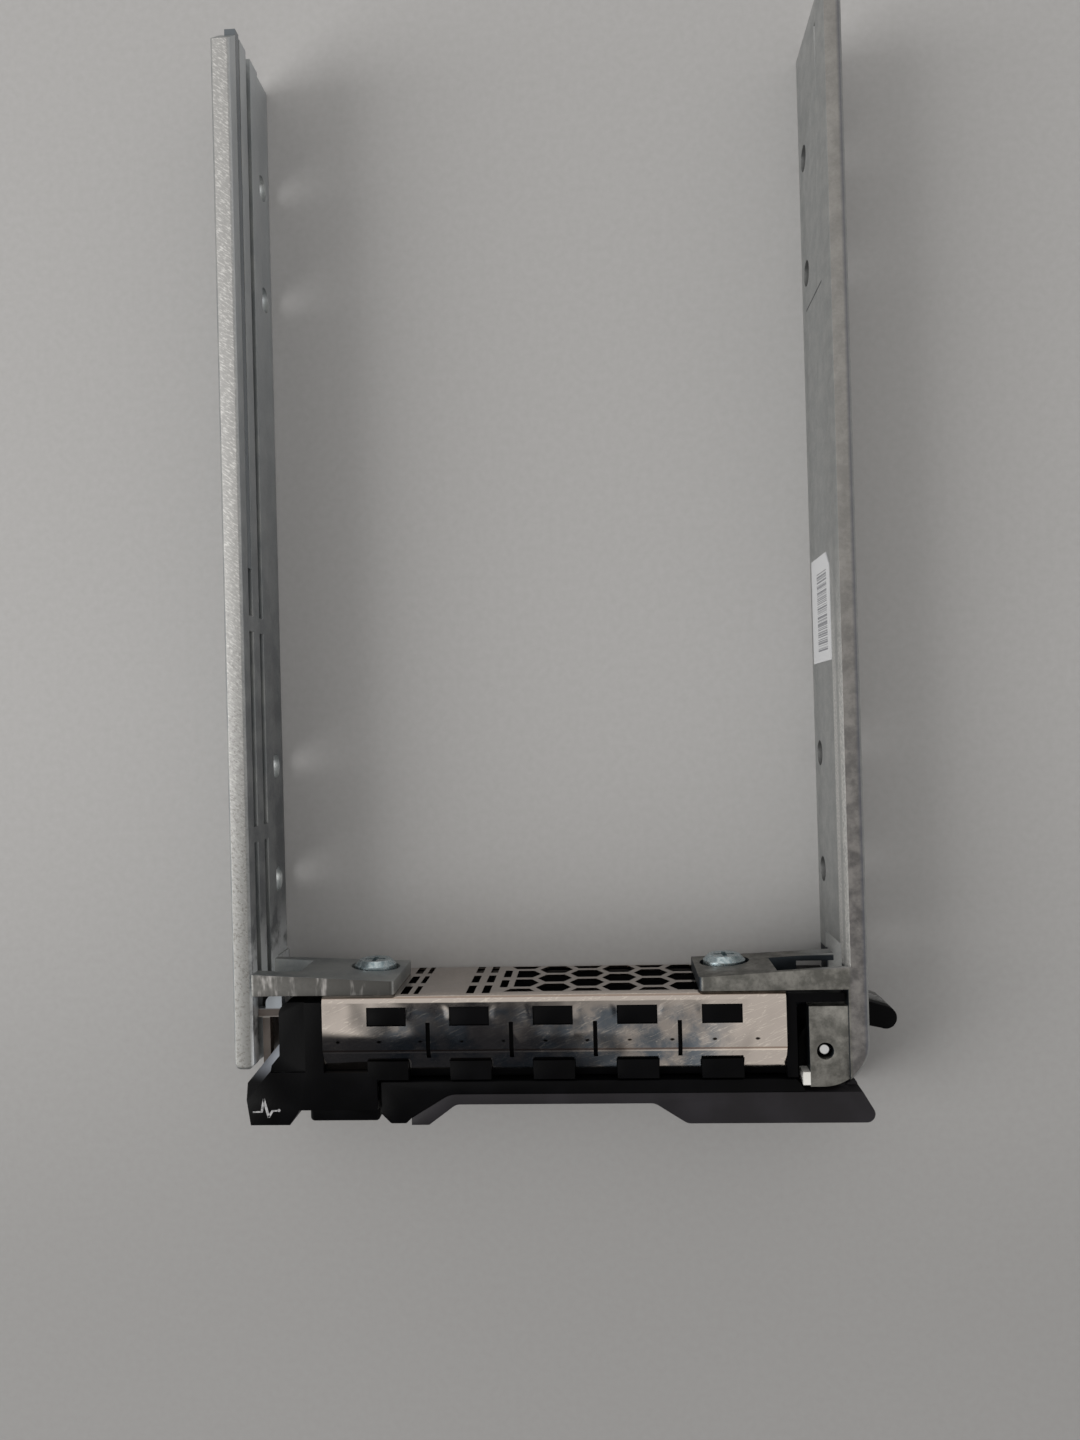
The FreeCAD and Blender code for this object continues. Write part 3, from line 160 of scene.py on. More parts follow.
# ---- finishes -------------------------------------------------------------------------
def cast_zinc_left():
    """Die-cast zinc, barrel tumbled: smooth pale walls in the channels, a duller skin on the
    ends, and a top edge sanded with fine slanting strokes, painted pale as a reflection of the
    bright room on the left."""
    grain_size, stain_size, smudge_size = 0.32 * MM, 5 * MM, 1.6 * MM
    stroke_size, stroke_slant, relief = 0.2 * MM, math.radians(-36), 0.02 * MM
    crest_low, crest_high = RAIL_TOP - 1.0 * MM, RAIL_TOP - 0.5 * MM
    channel_edge, inner_edge = LEFT_LOW.x + 6 * MM, LEFT_LOW.x + RAIL_WALL
    wall_darkest, wall_palest, polish_sheen_from, polish_sheen_full = 20 * MM, 100 * MM, 11 * MM, 2 * MM
    top_bright, top_grey, grey_share = 75 * MM, -8 * MM, 0.92
    pocket_floor, pocket_half = 0.95 * MM, 0.08 * MM
    tree, bsdf, place = surface("cast_zinc_left", Metallic=1.0)
    x, y, z = add(tree, "SeparateXYZ", [place]).node.outputs
    normal = add(tree, "SeparateXYZ", [add(tree, "NewGeometry", {}, "Normal")]).node.outputs
    crest = add(tree, "MapRange", (z, crest_low, crest_high), **SMOOTH)
    top = add(tree, "Math", (add(tree, "MapRange", (normal[2], *UPWARD), **SMOOTH), crest),
              **TIMES)
    grain = add(tree, "TexNoise", {"Vector": place, "Scale": 1 / grain_size, "Detail": 3.0,
                                   "Roughness": 0.6}, "Fac")
    stain = add(tree, "TexNoise", {"Vector": place, "Scale": 1 / stain_size, "Detail": 5.0,
                                   "Roughness": 0.6}, "Fac")
    turned = add(tree, "Mapping", {"Vector": place, "Rotation": (0, 0, stroke_slant),
                                   "Scale": (4.0, 1.0, 1.0)}, vector_type="TEXTURE")
    strokes = add(tree, "TexNoise", {"Vector": turned, "Scale": 1 / stroke_size, "Detail": 2.0,
                                     "Roughness": 0.7}, "Fac")
    cloudy = add(tree, "MapRange", (stain, *PATCHES), **SMOOTH)
    # the wall is paler towards the rear, and pale stains cloud it
    wall = add(tree, "Mix", {0: add(tree, "MapRange", (y, wall_darkest, wall_palest), **SMOOTH),
                             6: colour("838689"), 7: colour("BDC1C4")}, 2, **RGBA)
    wall = add(tree, "Mix", {0: add(tree, "Math", (cloudy, 0.25), **TIMES), 6: wall,
                             7: colour("D6D8D8")}, 2, **RGBA)
    ends = add(tree, "Mix", {0: cloudy, 6: colour("8C9092"), 7: colour("A3A5A4")}, 2, **RGBA)
    facing = add(tree, "Math", (add(tree, "MapRange", (normal[0], 0.5, 0.8), **SMOOTH),
                                add(tree, "MapRange", (x, channel_edge,
                                                       channel_edge - 1.0 * MM))), **TIMES)
    skin = add(tree, "Mix", {0: facing, 6: ends, 7: wall}, 2, **RGBA)
    # the wall ahead of the screw holes, polished in patches and painted near white there as a
    # highlight
    strip = add(tree, "Math", (add(tree, "MapRange", (y, polish_sheen_from, polish_sheen_full), **SMOOTH),
                               add(tree, "MapRange", (stain, 0.4, 0.55), **SMOOTH)), **TIMES)
    skin = add(tree, "Mix", {0: add(tree, "Math", (strip, facing), **TIMES), 6: skin,
                             7: colour("F2F5F7")}, 2, **RGBA)
    # the sanded top edge, painted pale as a reflection of the bright room on the left, greyer and
    # specked towards the front
    sanded_and_lit = add(tree, "Mix", {0: add(tree, "MapRange", (strokes, 0.46, 0.7), **SMOOTH),
                               6: colour("B6B5B4"), 7: colour("E0DFDD")}, 2, **RGBA)
    front = add(tree, "MapRange", (y, top_bright, top_grey, 0.0, grey_share), **SMOOTH)
    sanded_and_lit = add(tree, "Mix", {0: front, 6: sanded_and_lit, 7: colour("848482")}, 2, **RGBA)
    specks = add(tree, "Math", (add(tree, "MapRange", (grain, 0.52, 0.66), **SMOOTH), front),
                 **TIMES)
    sanded_and_lit = add(tree, "Mix", {0: add(tree, "Math", (specks, 0.7), **TIMES), 6: sanded_and_lit,
                               7: colour("6E6A67")}, 2, **RGBA)
    # the ear's top, rubbed in smudges
    drag = add(tree, "Mapping", {"Vector": place, "Scale": (1.0, 4.0, 1.0)},
               vector_type="TEXTURE")
    smudge = add(tree, "TexNoise", {"Vector": drag, "Scale": 1 / smudge_size, "Detail": 3.0,
                                    "Roughness": 0.7}, "Fac")
    rubbed_and_sheen = add(tree, "Mix", {0: add(tree, "MapRange", (smudge, 0.5, 0.72), **SMOOTH),
                               6: colour("504F4D"), 7: colour("9C9997")}, 2, **RGBA)
    # the floor of the ear's pocket, kept pale
    pocket = add(tree, "Math", (add(tree, "Math", (y, pocket_floor, pocket_half),
                                    operation="COMPARE"),
                                add(tree, "MapRange", (normal[1], 0.7, 0.9), **SMOOTH)), **TIMES)
    skin = add(tree, "Mix", {0: pocket, 6: skin, 7: colour("B3B7B4")}, 2, **RGBA)
    on_ear = add(tree, "MapRange", (x, inner_edge, inner_edge + 0.3 * MM))
    top_wear_and_light = add(tree, "Mix", {0: on_ear, 6: sanded_and_lit, 7: rubbed_and_sheen}, 2, **RGBA)
    wire(tree, bsdf, Base_Color=add(tree, "Mix", {0: top, 6: skin, 7: top_wear_and_light}, 2, **RGBA),
         Roughness=add(tree, "MapRange", (grain, *NOISE_SPAN, 0.44, 0.58)),
         Normal=add(tree, "Bump", {"Height": strokes, "Distance": relief, "Strength": 0.25}))


def cast_zinc_right():
    """Die-cast zinc with a stained matt skin, a top edge painted darker as a reflection of the
    dimmer side of the room, and a ground strip along the top of its inner face that shines where
    the sleeve of the drive rubs it, most of all near the ear."""
    grain_size, stain_size, relief = 0.3 * MM, 2.2 * MM, 0.02 * MM
    strip_low, line_at, line_half = RAIL_TOP - 4.0 * MM, RAIL_TOP - 1.9 * MM, 0.45 * MM
    scratch_at, scratch_half, scratch_share = 84.4 * MM, 0.14 * MM, 0.85
    scratch_middle, scratch_reach = 7.1 * MM, 4.8 * MM
    hole_height, hole_reach, holes_from = 3.0 * MM, 2.0 * MM, 4 * MM
    crest_low, crest_high = RAIL_TOP - 1.3 * MM, RAIL_TOP - 0.8 * MM
    rim_inner, rim_outer, rim_share = RIGHT_HIGH.x - 0.8 * MM, RIGHT_HIGH.x - 0.3 * MM, 0.7
    pale_from, pale_to, pale_share = 5 * MM, 70 * MM, 0.5
    strip_dull, strip_bright = 58 * MM, 30 * MM
    ear_side, ear_rear, ear_middle = RIGHT_HIGH.x - 2.0 * MM, 2.5 * MM, 8.4 * MM
    ear_fade = 0.2 * MM
    tree, bsdf, place = surface("cast_zinc_right", Metallic=1.0)
    x, y, z = add(tree, "SeparateXYZ", [place]).node.outputs
    normal = add(tree, "SeparateXYZ", [add(tree, "NewGeometry", {}, "Normal")]).node.outputs
    crest = add(tree, "MapRange", (z, crest_low, crest_high), **SMOOTH)
    top = add(tree, "Math", (add(tree, "MapRange", (normal[2], *UPWARD), **SMOOTH), crest),
              **TIMES)
    grain = add(tree, "TexNoise", {"Vector": place, "Scale": 1 / grain_size, "Detail": 3.0,
                                   "Roughness": 0.6}, "Fac")
    stain = add(tree, "TexNoise", {"Vector": place, "Scale": 1 / stain_size, "Detail": 6.0,
                                   "Roughness": 0.68}, "Fac")
    cloudy = add(tree, "MapRange", (stain, *PATCHES), **SMOOTH)
    skin = add(tree, "Mix", {0: cloudy, 6: colour("A0A2A2"), 7: colour("AEAFAE")}, 2, **RGBA)
    # the top edge, painted darker as a reflection of the dimmer room on the right, paler towards
    # the rear and bluish along its outer rim
    top_wear_and_light = add(tree, "Mix", {0: cloudy, 6: colour("666464"), 7: colour("8E8B89")}, 2, **RGBA)
    rear = add(tree, "MapRange", (y, pale_from, pale_to, 0.0, pale_share), **SMOOTH)
    top_wear_and_light = add(tree, "Mix", {0: rear, 6: top_wear_and_light, 7: colour("AFADA9")}, 2, **RGBA)
    rim = add(tree, "MapRange", (x, rim_inner, rim_outer, 0.0, rim_share), **SMOOTH)
    top_wear_and_light = add(tree, "Mix", {0: rim, 6: top_wear_and_light, 7: colour("62656E")}, 2, **RGBA)
    # the ground strip, with a duller line along its middle
    ground = add(tree, "MapRange", (z, strip_low, strip_low + 0.2 * MM))
    facing = add(tree, "MapRange", (normal[0], -0.6, -0.9), **SMOOTH)
    near = add(tree, "MapRange", (y, strip_dull, strip_bright), **SMOOTH)
    bands = add(tree, "Math", (z, line_at, line_half), operation="COMPARE")
    glint = add(tree, "Math", (add(tree, "MapRange", (grain, 0.35, 0.65, 0.3, 1.0)),
                               add(tree, "Math", (bands, -0.6, 1.0), operation="MULTIPLY_ADD")),
                **TIMES)
    strip = add(tree, "Math", (add(tree, "Math", (ground, facing), **TIMES), near), **TIMES)
    strip = add(tree, "Math", (strip, glint), **TIMES)
    base = add(tree, "Mix", {0: top, 6: skin, 7: top_wear_and_light}, 2, **RGBA)
    base = add(tree, "Mix", {0: strip, 6: base, 7: colour("DBDAD7")}, 2, **RGBA)
    # the ear and the lug keep a darker skin, handled but not rubbed
    dull_and_shaded = add(tree, "Mix", {0: cloudy, 6: colour("63625E"), 7: colour("8E8C87")}, 2, **RGBA)
    inward = add(tree, "MapRange", (x, ear_side, ear_side - 0.25 * MM))
    ahead = add(tree, "MapRange", (y, ear_rear, ear_rear - ear_fade))
    # their sides and the faces under the ear's middle are painted darker still as shade
    below = add(tree, "Math", (add(tree, "MapRange", (z, ear_middle, ear_middle - ear_fade)),
                               add(tree, "MapRange", (normal[1], 0.6, 0.4))), **TIMES)
    sides = add(tree, "MapRange", (normal[0], -0.3, -0.7), **SMOOTH)
    dull_and_shaded = add(tree, "Mix", {0: add(tree, "Math", (below, sides), operation="MAXIMUM"), 6: dull_and_shaded,
                             7: colour("363B40")}, 2, **RGBA)
    base = add(tree, "Mix", {0: add(tree, "Math", (inward, ahead), **TIMES), 6: base, 7: dull_and_shaded}, 2,
               **RGBA)
    # one deep upright scratch on the inner face
    scratch = add(tree, "Math", (add(tree, "Math", (y, scratch_at, scratch_half),
                                     operation="COMPARE"), facing), **TIMES)
    length = add(tree, "Math", (z, scratch_middle, scratch_reach), operation="COMPARE")
    scratch = add(tree, "Math", (add(tree, "Math", (scratch, length), **TIMES), scratch_share),
                  **TIMES)
    base = add(tree, "Mix", {0: scratch, 6: base, 7: colour("3C3E41")}, 2, **RGBA)
    # threaded holes, painted a shade darker as the shade inside them
    bored = add(tree, "Math", (add(tree, "Math", (z, hole_height, hole_reach),
                                   operation="COMPARE"),
                               add(tree, "Math", (normal[0], 0.0, 0.7), operation="COMPARE")),
                **TIMES)
    behind = add(tree, "MapRange", (y, holes_from, holes_from + 1 * MM))
    bored = add(tree, "Math", (bored, behind), **TIMES)
    wire(tree, bsdf, Base_Color=add(tree, "Mix", {0: bored, 6: base, 7: colour("7C7D7D")}, 2,
                                    **RGBA),
         Roughness=add(tree, "MapRange", (grain, *NOISE_SPAN, 0.46, 0.6)),
         Normal=add(tree, "Bump", {"Height": grain, "Distance": relief, "Strength": 0.3}))


def spring_steel():
    """Cold-rolled spring steel under thin nickel: near a mirror, with hairline scratches, a cream
    tint that partly paints the ceiling's reflection, a painted dark blotched reflection over the
    middle, and a row of small burnt spots from the plating rack."""
    spot_row, spot_wide, spot_deep, ragged_size = 5.6 * MM, 0.3 * MM, 0.17 * MM, 0.5 * MM
    blotch_size, hair_size, wave_size, relief = 3.6 * MM, 1.1 * MM, 5 * MM, 0.12 * MM
    clean_end, marked_end, fold, marked_flat = 24 * MM, 17 * MM, -1.2 * MM, -2.2 * MM
    hair_slant, hair_level, hair_half, hair_share = math.radians(24), 0.5, 0.008, 0.4
    tree, bsdf, place = surface("nickel_spring_steel", Metallic=1.0)
    x, y = add(tree, "SeparateXYZ", [place]).node.outputs[:2]
    # burnt spots: the distance to the nearest one's middle, counted in spot sizes
    step = FINGER_PITCH / 2
    along = add(tree, "Math", (x, SPOT_CENTRE + step / 2, SPOT_CENTRE - step / 2),
                operation="WRAP")
    across = add(tree, "Math", (along, SPOT_CENTRE), operation="SUBTRACT")
    depth = add(tree, "Math", (y, spot_row), **PLUS)
    ragged = add(tree, "TexNoise", {"Vector": place, "Scale": 1 / ragged_size, "Detail": 2.0},
                 "Fac")
    oval = add(tree, "CombineXYZ", (add(tree, "Math", (across, 1 / spot_wide), **TIMES),
                                    add(tree, "Math", (depth, 1 / spot_deep), **TIMES)))
    reach = add(tree, "Math", (add(tree, "VectorMath", [oval], "Value", operation="LENGTH"),
                               ragged), **PLUS)
    spot = add(tree, "MapRange", (reach, 1.05, 1.6, 1.0, 0.0), **SMOOTH)
    # a painted reflection of the camera and whoever holds it, blotched by the sheet's dents, on
    # the middle of the flat, away from the folded edge
    blotch = add(tree, "TexNoise", {"Vector": place, "Scale": 1 / blotch_size, "Detail": 5.0,
                                   "Roughness": 0.62}, "Fac")
    middle = add(tree, "MapRange", (add(tree, "Math", [x], operation="ABSOLUTE"),
                                    clean_end, marked_end), **SMOOTH)
    flat = add(tree, "MapRange", (y, fold, marked_flat), **SMOOTH)
    cloud = add(tree, "Math", (add(tree, "MapRange", (blotch, 0.36, 0.6), **SMOOTH),
                               add(tree, "Math", (middle, flat), **TIMES)), **TIMES)
    tint = add(tree, "Mix", {0: cloud, 6: colour("C6BCB4"), 7: colour("7C838B")}, 2, **RGBA)
    # hairline scratches, a thin band of stretched noise
    drawn = add(tree, "Mapping", {"Vector": place, "Rotation": (0, 0, hair_slant),
                                  "Scale": (9.0, 1.0, 1.0)}, vector_type="TEXTURE")
    hair = add(tree, "TexNoise", {"Vector": drawn, "Scale": 1 / hair_size, "Detail": 3.0,
                                  "Roughness": 0.7}, "Fac")
    line = add(tree, "Math", (hair, hair_level, hair_half), operation="COMPARE")
    tint = add(tree, "Mix", {0: add(tree, "Math", (line, hair_share), **TIMES), 6: tint,
                             7: colour("F2E8DC")}, 2, **RGBA)
    # lines beside the folds, brown ones and a near-white one that is a painted highlight along
    # the bend: place and half width in millimetres, share, colour
    for where, half, share, code in ((-6.68, 0.12, 0.6, "7A5A44"), (-6.92, 0.1, 0.6, "FFF0E2"),
                                     (-0.4, 0.1, 0.5, "7A5A44")):
        band = add(tree, "Math", (y, where * MM, half * MM), operation="COMPARE")
        tint = add(tree, "Mix", {0: add(tree, "Math", (band, share), **TIMES), 6: tint,
                                 7: colour(code)}, 2, **RGBA)
    waves = add(tree, "TexNoise", {"Vector": place, "Scale": 1 / wave_size, "Detail": 1.0}, "Fac")
    wire(tree, bsdf,
         Base_Color=add(tree, "Mix", {0: spot, 6: tint, 7: colour("1C1712")}, 2, **RGBA),
         Roughness=add(tree, "MapRange", (blotch, 0.35, 0.7, 0.08, 0.17)),
         Normal=add(tree, "Bump", {"Height": waves, "Distance": relief, "Strength": 0.8}))


def moulded(name, hex_code, cloudy_hex, roughness, gloss, grain_mm):
    """Injection-moulded plastic: an even skin with the fine grain of a spark-eroded mould,
    a shade lighter where hands have polished it."""
    cloud_size, relief = 5 * MM, 0.03 * MM
    tree, bsdf, place = surface(name, Specular_IOR_Level=gloss)
    cloud = add(tree, "TexNoise", {"Vector": place, "Scale": 1 / cloud_size, "Detail": 3.0},
                "Fac")
    grain = add(tree, "TexNoise", {"Vector": place, "Scale": 1 / (grain_mm * MM),
                                   "Detail": 1.0}, "Fac")
    base = add(tree, "Mix", {0: add(tree, "MapRange", (cloud, 0.4, 0.75), **SMOOTH),
                             6: colour(hex_code), 7: colour(cloudy_hex)}, 2, **RGBA)
    wire(tree, bsdf, Base_Color=base,
         Roughness=add(tree, "MapRange", (cloud, 0.3, 0.75, roughness - 0.05, roughness + 0.07)),
         Normal=add(tree, "Bump", {"Height": grain, "Distance": relief, "Strength": 0.3}))
    return tree, bsdf, place, base


def black_bezel():
    """The bezel's moulded ABS: near black, with a painted pale reflection of the window light on
    the bevel behind the wing.
    """
    slope, slope_span, wing_end = 0.68, 0.2, -31 * MM
    bevel_front, bevel_rear = -10.6 * MM, -7.2 * MM
    tree, bsdf, place, base = moulded("black_abs_bezel", *BLACK_ABS)
    x, y = add(tree, "SeparateXYZ", [place]).node.outputs[:2]
    normal = add(tree, "SeparateXYZ", [add(tree, "NewGeometry", {}, "Normal")]).node.outputs
    # a painted reflection of the window light on the slanted bevel behind the wing
    slanted = add(tree, "Math", (normal[2], slope, slope_span), operation="COMPARE")
    behind = add(tree, "MapRange", (y, bevel_front, bevel_rear), **SMOOTH)
    rubbed_and_sheen = add(tree, "Math", (add(tree, "Math", (slanted, behind), **TIMES),
                                add(tree, "Math", (x, wing_end), operation="LESS_THAN")), **TIMES)
    wire(tree, bsdf, Base_Color=add(tree, "Mix", {0: rubbed_and_sheen, 6: base, 7: colour("898D95")}, 2,
                                    **RGBA))


def plain_metal(name, hex_code, shade_hex, roughness, grain_mm):
    """Plated or drawn steel: bright, with a faint turned grain and uneven plating."""
    relief = 0.02 * MM
    tree, bsdf, place = surface(name, Metallic=1.0)
    grain = add(tree, "TexNoise", {"Vector": place, "Scale": 1 / (grain_mm * MM),
                                   "Detail": 3.0}, "Fac")
    wire(tree, bsdf,
         Base_Color=add(tree, "Mix", {0: add(tree, "MapRange", (grain, 0.35, 0.7), **SMOOTH),
                                      6: colour(hex_code), 7: colour(shade_hex)}, 2, **RGBA),
         Roughness=add(tree, "MapRange", (grain, *NOISE_SPAN, roughness - 0.04,
                                          roughness + 0.08)),
         Normal=add(tree, "Bump", {"Height": grain, "Distance": relief, "Strength": 0.3}))


def turned_pin():
    """Turned steel pin, with a painted highlight at the middle of its end and painted shade round
    it.
    """
    bright, shade_radius, speck_size, ragged = 0.52 * MM, 0.66 * MM, 0.5 * MM, 0.1 * MM
    tree, bsdf, place = surface("turned_pin_steel", Metallic=1.0, Roughness=0.35)
    low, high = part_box("pivot_pin")
    middle = add(tree, "Mapping", {"Vector": place, "Location": (low + high) / 2,
                                   "Scale": (1.0, 1.0, 1e6)}, vector_type="TEXTURE")
    away = add(tree, "VectorMath", [middle], "Value", operation="LENGTH")
    speck = add(tree, "TexNoise", {"Vector": place, "Scale": 1 / speck_size}, "Fac")
    uneven = add(tree, "Math", (away, add(tree, "Math", (speck, ragged), **TIMES)), **PLUS)
    # painted highlight in the middle, fading into painted shade towards the rim
    ring = add(tree, "MapRange", (uneven, bright, shade_radius), **SMOOTH)
    wire(tree, bsdf, Base_Color=add(tree, "Mix", {0: ring, 6: colour("E8E9EA"),
                                                  7: colour("26282A")}, 2, **RGBA))


def polycarbonate():
    """Moulded clear polycarbonate: it looks blue-grey over the metal of its groove, smoky brown
    where it lies deep in the wing, with a painted glint at the round nose where light gets in and
    a painted highlight along its step."""
    cloud_size, edge = 2 * MM, 0.2 * MM
    step_at, step_half, nose_from, groove_from = -3.1 * MM, 0.1 * MM, -2.2 * MM, -0.2 * MM
    tree, bsdf, place = surface("polycarbonate", Roughness=0.2, IOR=1.58, Specular_IOR_Level=0.4)
    y = add(tree, "SeparateXYZ", [place], 1)
    cloud = add(tree, "TexNoise", {"Vector": place, "Scale": 1 / cloud_size, "Detail": 2.0},
                "Fac")
    smoky = add(tree, "Mix", {0: add(tree, "MapRange", (cloud, 0.35, 0.7), **SMOOTH),
                              6: colour("6A5F58"), 7: colour("574D47")}, 2, **RGBA)
    # a painted glint on the round nose
    nose = add(tree, "MapRange", (y, nose_from, nose_from + edge))
    tint = add(tree, "Mix", {0: nose, 6: smoky, 7: colour("C3CAD2")}, 2, **RGBA)
    groove = add(tree, "MapRange", (y, groove_from, groove_from + 2 * edge))
    tint = add(tree, "Mix", {0: groove, 6: tint, 7: colour("5E6469")}, 2, **RGBA)
    # a painted highlight along the edge at the step
    step = add(tree, "Math", (y, step_at, step_half), operation="COMPARE")
    wire(tree, bsdf, Base_Color=add(tree, "Mix", {0: step, 6: tint, 7: colour("A09A94")}, 2,
                                    **RGBA))


def polyester_label():
    """Printed white polyester film: fields of fine grey bars, and no words."""
    bar_size, soft = 0.22 * MM, 0.1 * MM
    tree, bsdf, place = surface("polyester_label", Roughness=0.4, Specular_IOR_Level=0.4)
    y, z = add(tree, "SeparateXYZ", [place]).node.outputs[1:]
    bars = add(tree, "TexNoise", {"W": y, "Scale": 1 / bar_size, "Detail": 1.0},
               "Fac", noise_dimensions="1D")
    ink = add(tree, "MapRange", (bars, 0.47, 0.52))
    # the print stops short of each edge of the film
    for axis, edge, inward in ((z, LABEL_LOW.z + 3.2 * MM, 1), (z, LABEL_HIGH.z - 1.4 * MM, -1),
                               (y, LABEL_LOW.y + 1.2 * MM, 1), (y, LABEL_HIGH.y - 2.0 * MM, -1)):
        within = add(tree, "MapRange", (axis, edge, edge + soft * inward))
        ink = add(tree, "Math", (ink, within), **TIMES)
    wire(tree, bsdf, Base_Color=add(tree, "Mix", {0: ink, 6: colour("C2C3C5"),
                                                  7: colour("74757A")}, 2, **RGBA))


def printed_mark():
    """Pad-printed pale grey ink, a little worn."""
    wear_size = 0.4 * MM
    tree, bsdf, place = surface("printed_mark", Roughness=0.6)
    wear = add(tree, "TexNoise", {"Vector": place, "Scale": 1 / wear_size, "Detail": 2.0}, "Fac")
    share = add(tree, "MapRange", (wear, 0.4, 0.7), **SMOOTH)
    wire(tree, bsdf, Base_Color=add(tree, "Mix", {0: share, 6: colour("A9A9AB"),
                                                  7: colour("6E6E71")}, 2, **RGBA))


def painted_table(settings):
    """Painted board: pale, matt, with a faint speckle, and painted shade at its near side, where
    whoever leans over the table stands.
    """
    speck_size, shade_from, shade_to, shade_share = 0.9 * MM, 45 * MM, -50 * MM, 0.28
    tree, bsdf, place = surface("painted_table", Roughness=0.7, Specular_IOR_Level=0.2)
    speck = add(tree, "TexNoise", {"Vector": place, "Scale": 1 / speck_size, "Detail": 3.0},
                "Fac")
    y = add(tree, "SeparateXYZ", [place], 1)
    # painted shade, darker towards the near side
    near_shade = add(tree, "MapRange", (y, shade_from, shade_to, 0.0, shade_share), **SMOOTH)
    dusk = add(tree, "Mix", {0: near_shade, 6: tuple(settings.floor_colour), 7: colour("000000")}, 2,
               **RGBA)
    wire(tree, bsdf, Base_Color=add(tree, "Mix",
                                    {0: add(tree, "MapRange", (speck, 0.3, 0.75, 0.0, 0.12)),
                                     6: dusk, 7: colour("7F7C78")}, 2, **RGBA))


# ---- meshes -----------------------------------------------------------------------------
def merged_copy(node):
    """The CAD node's shape as a bmesh with shared points and whole flat faces."""
    mesh = bmesh.new()
    mesh.from_mesh(NODES[node].data)
    bmesh.ops.remove_doubles(mesh, verts=mesh.verts, dist=WELD)
    bmesh.ops.dissolve_limit(mesh, angle_limit=FLAT, verts=mesh.verts, edges=mesh.edges)
    return mesh


def finish_piece(name, mesh, body, material, slot, *replaced):
    """Turns a bmesh into an object with its finish, riding on its body."""
    data = bpy.data.meshes.new(name)
    bmesh.ops.triangulate(mesh, faces=[face for face in mesh.faces if len(face.verts) > 4])
    mesh.normal_update()
    mesh.to_mesh(data)
    mesh.free()
    data.shade_smooth()
    data.set_sharp_from_angle(angle=CREASED)
    data.materials.append(MATERIALS[material])
    piece = bpy.data.objects.new(name, data)
    bpy.context.scene.collection.objects.link(piece)
    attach(piece, body)
    if replaced:
        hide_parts(*replaced)
    return piece


def softened(name, node, body, material, slot, width, segments=2):
    """A copy of a CAD node with its sharp edges rounded off as the real one's are."""
    mesh = merged_copy(node)
    sharp = [edge for edge in mesh.edges
             if len(edge.link_faces) == 2 and edge.calc_face_angle(0) > BEVELLED]
    bmesh.ops.bevel(mesh, geom=sharp, offset=width, offset_type="OFFSET", segments=segments,
                    profile=0.5, affect="EDGES", clamp_overlap=True, material=-1)
    finish_piece(name, mesh, body, material, slot, node)


class CaddySettings(bpy.types.PropertyGroup):
    """The sizes and colours that a user would change"""
    cast_round: FloatProperty(name="Cast edges", description="Rounding of the rails' edges",
                              default=0.14 * MM, min=0.02 * MM, max=0.3 * MM, precision=5,
                              subtype="DISTANCE")
    moulded_round: FloatProperty(name="Moulded edges",
                                 description="Rounding of the plastic parts' edges",
                                 default=0.16 * MM, min=0.02 * MM, max=0.3 * MM, precision=5,
                                 subtype="DISTANCE")
    finger_relief: FloatProperty(name="Finger relief",
                                 description="Depth of the pressed arches at the slits",
                                 default=0.03 * MM, min=0.0, max=0.12 * MM, precision=5,
                                 subtype="DISTANCE")
    floor_colour: FloatVectorProperty(name="Floor", description="Colour of the painted table",
                                      default=colour("B1B0B0"), min=0, max=1, size=4,
                                      subtype="COLOR")
    lamp_power: FloatProperty(name="Window light",
                              description="Power of the soft light from the left",
                              default=7.8, min=0, subtype="POWER")


class CADDY_OT_finishes(bpy.types.Operator):
    """Makes the materials that the pieces use"""
    bl_idname = "caddy.finishes"
    bl_label = "Finishes"

    def execute(self, context):
        cast_zinc_left()
        cast_zinc_right()
        spring_steel()
        moulded("black_abs", *BLACK_ABS)
        black_bezel()
        moulded("charcoal_abs", "1E1C1F", "252327", 0.5, 0.2, 0.3)
        moulded("white_nylon", "DDDCD8", "D2D0CB", 0.4, 0.4, 0.3)
        plain_metal("zinc_plated_steel", "C8D4D8", "9DAFB6", 0.28, 0.4)
        turned_pin()
        plain_metal("turned_steel", "8E8E8E", "757575", 0.36, 0.3)
        plain_metal("spring_wire", "A0A0A0", "8A8A8A", 0.34, 0.2)
        polycarbonate()
        polyester_label()
        printed_mark()
        painted_table(context.scene.caddy)
        return {"FINISHED"}


class CADDY_OT_rails(bpy.types.Operator):
    """Rounds the cast rails' edges and gives them their skin"""
    bl_idname = "caddy.rails"
    bl_label = "Rails"

    def execute(self, context):
        width = context.scene.caddy.cast_round
        softened("left_rail_casting", "left_rail", "caddy", "cast_zinc_left", "cast_metal", width)
        softened("right_rail_casting", "right_rail", "caddy", "cast_zinc_right", "cast_metal",
                 width)
        return {"FINISHED"}


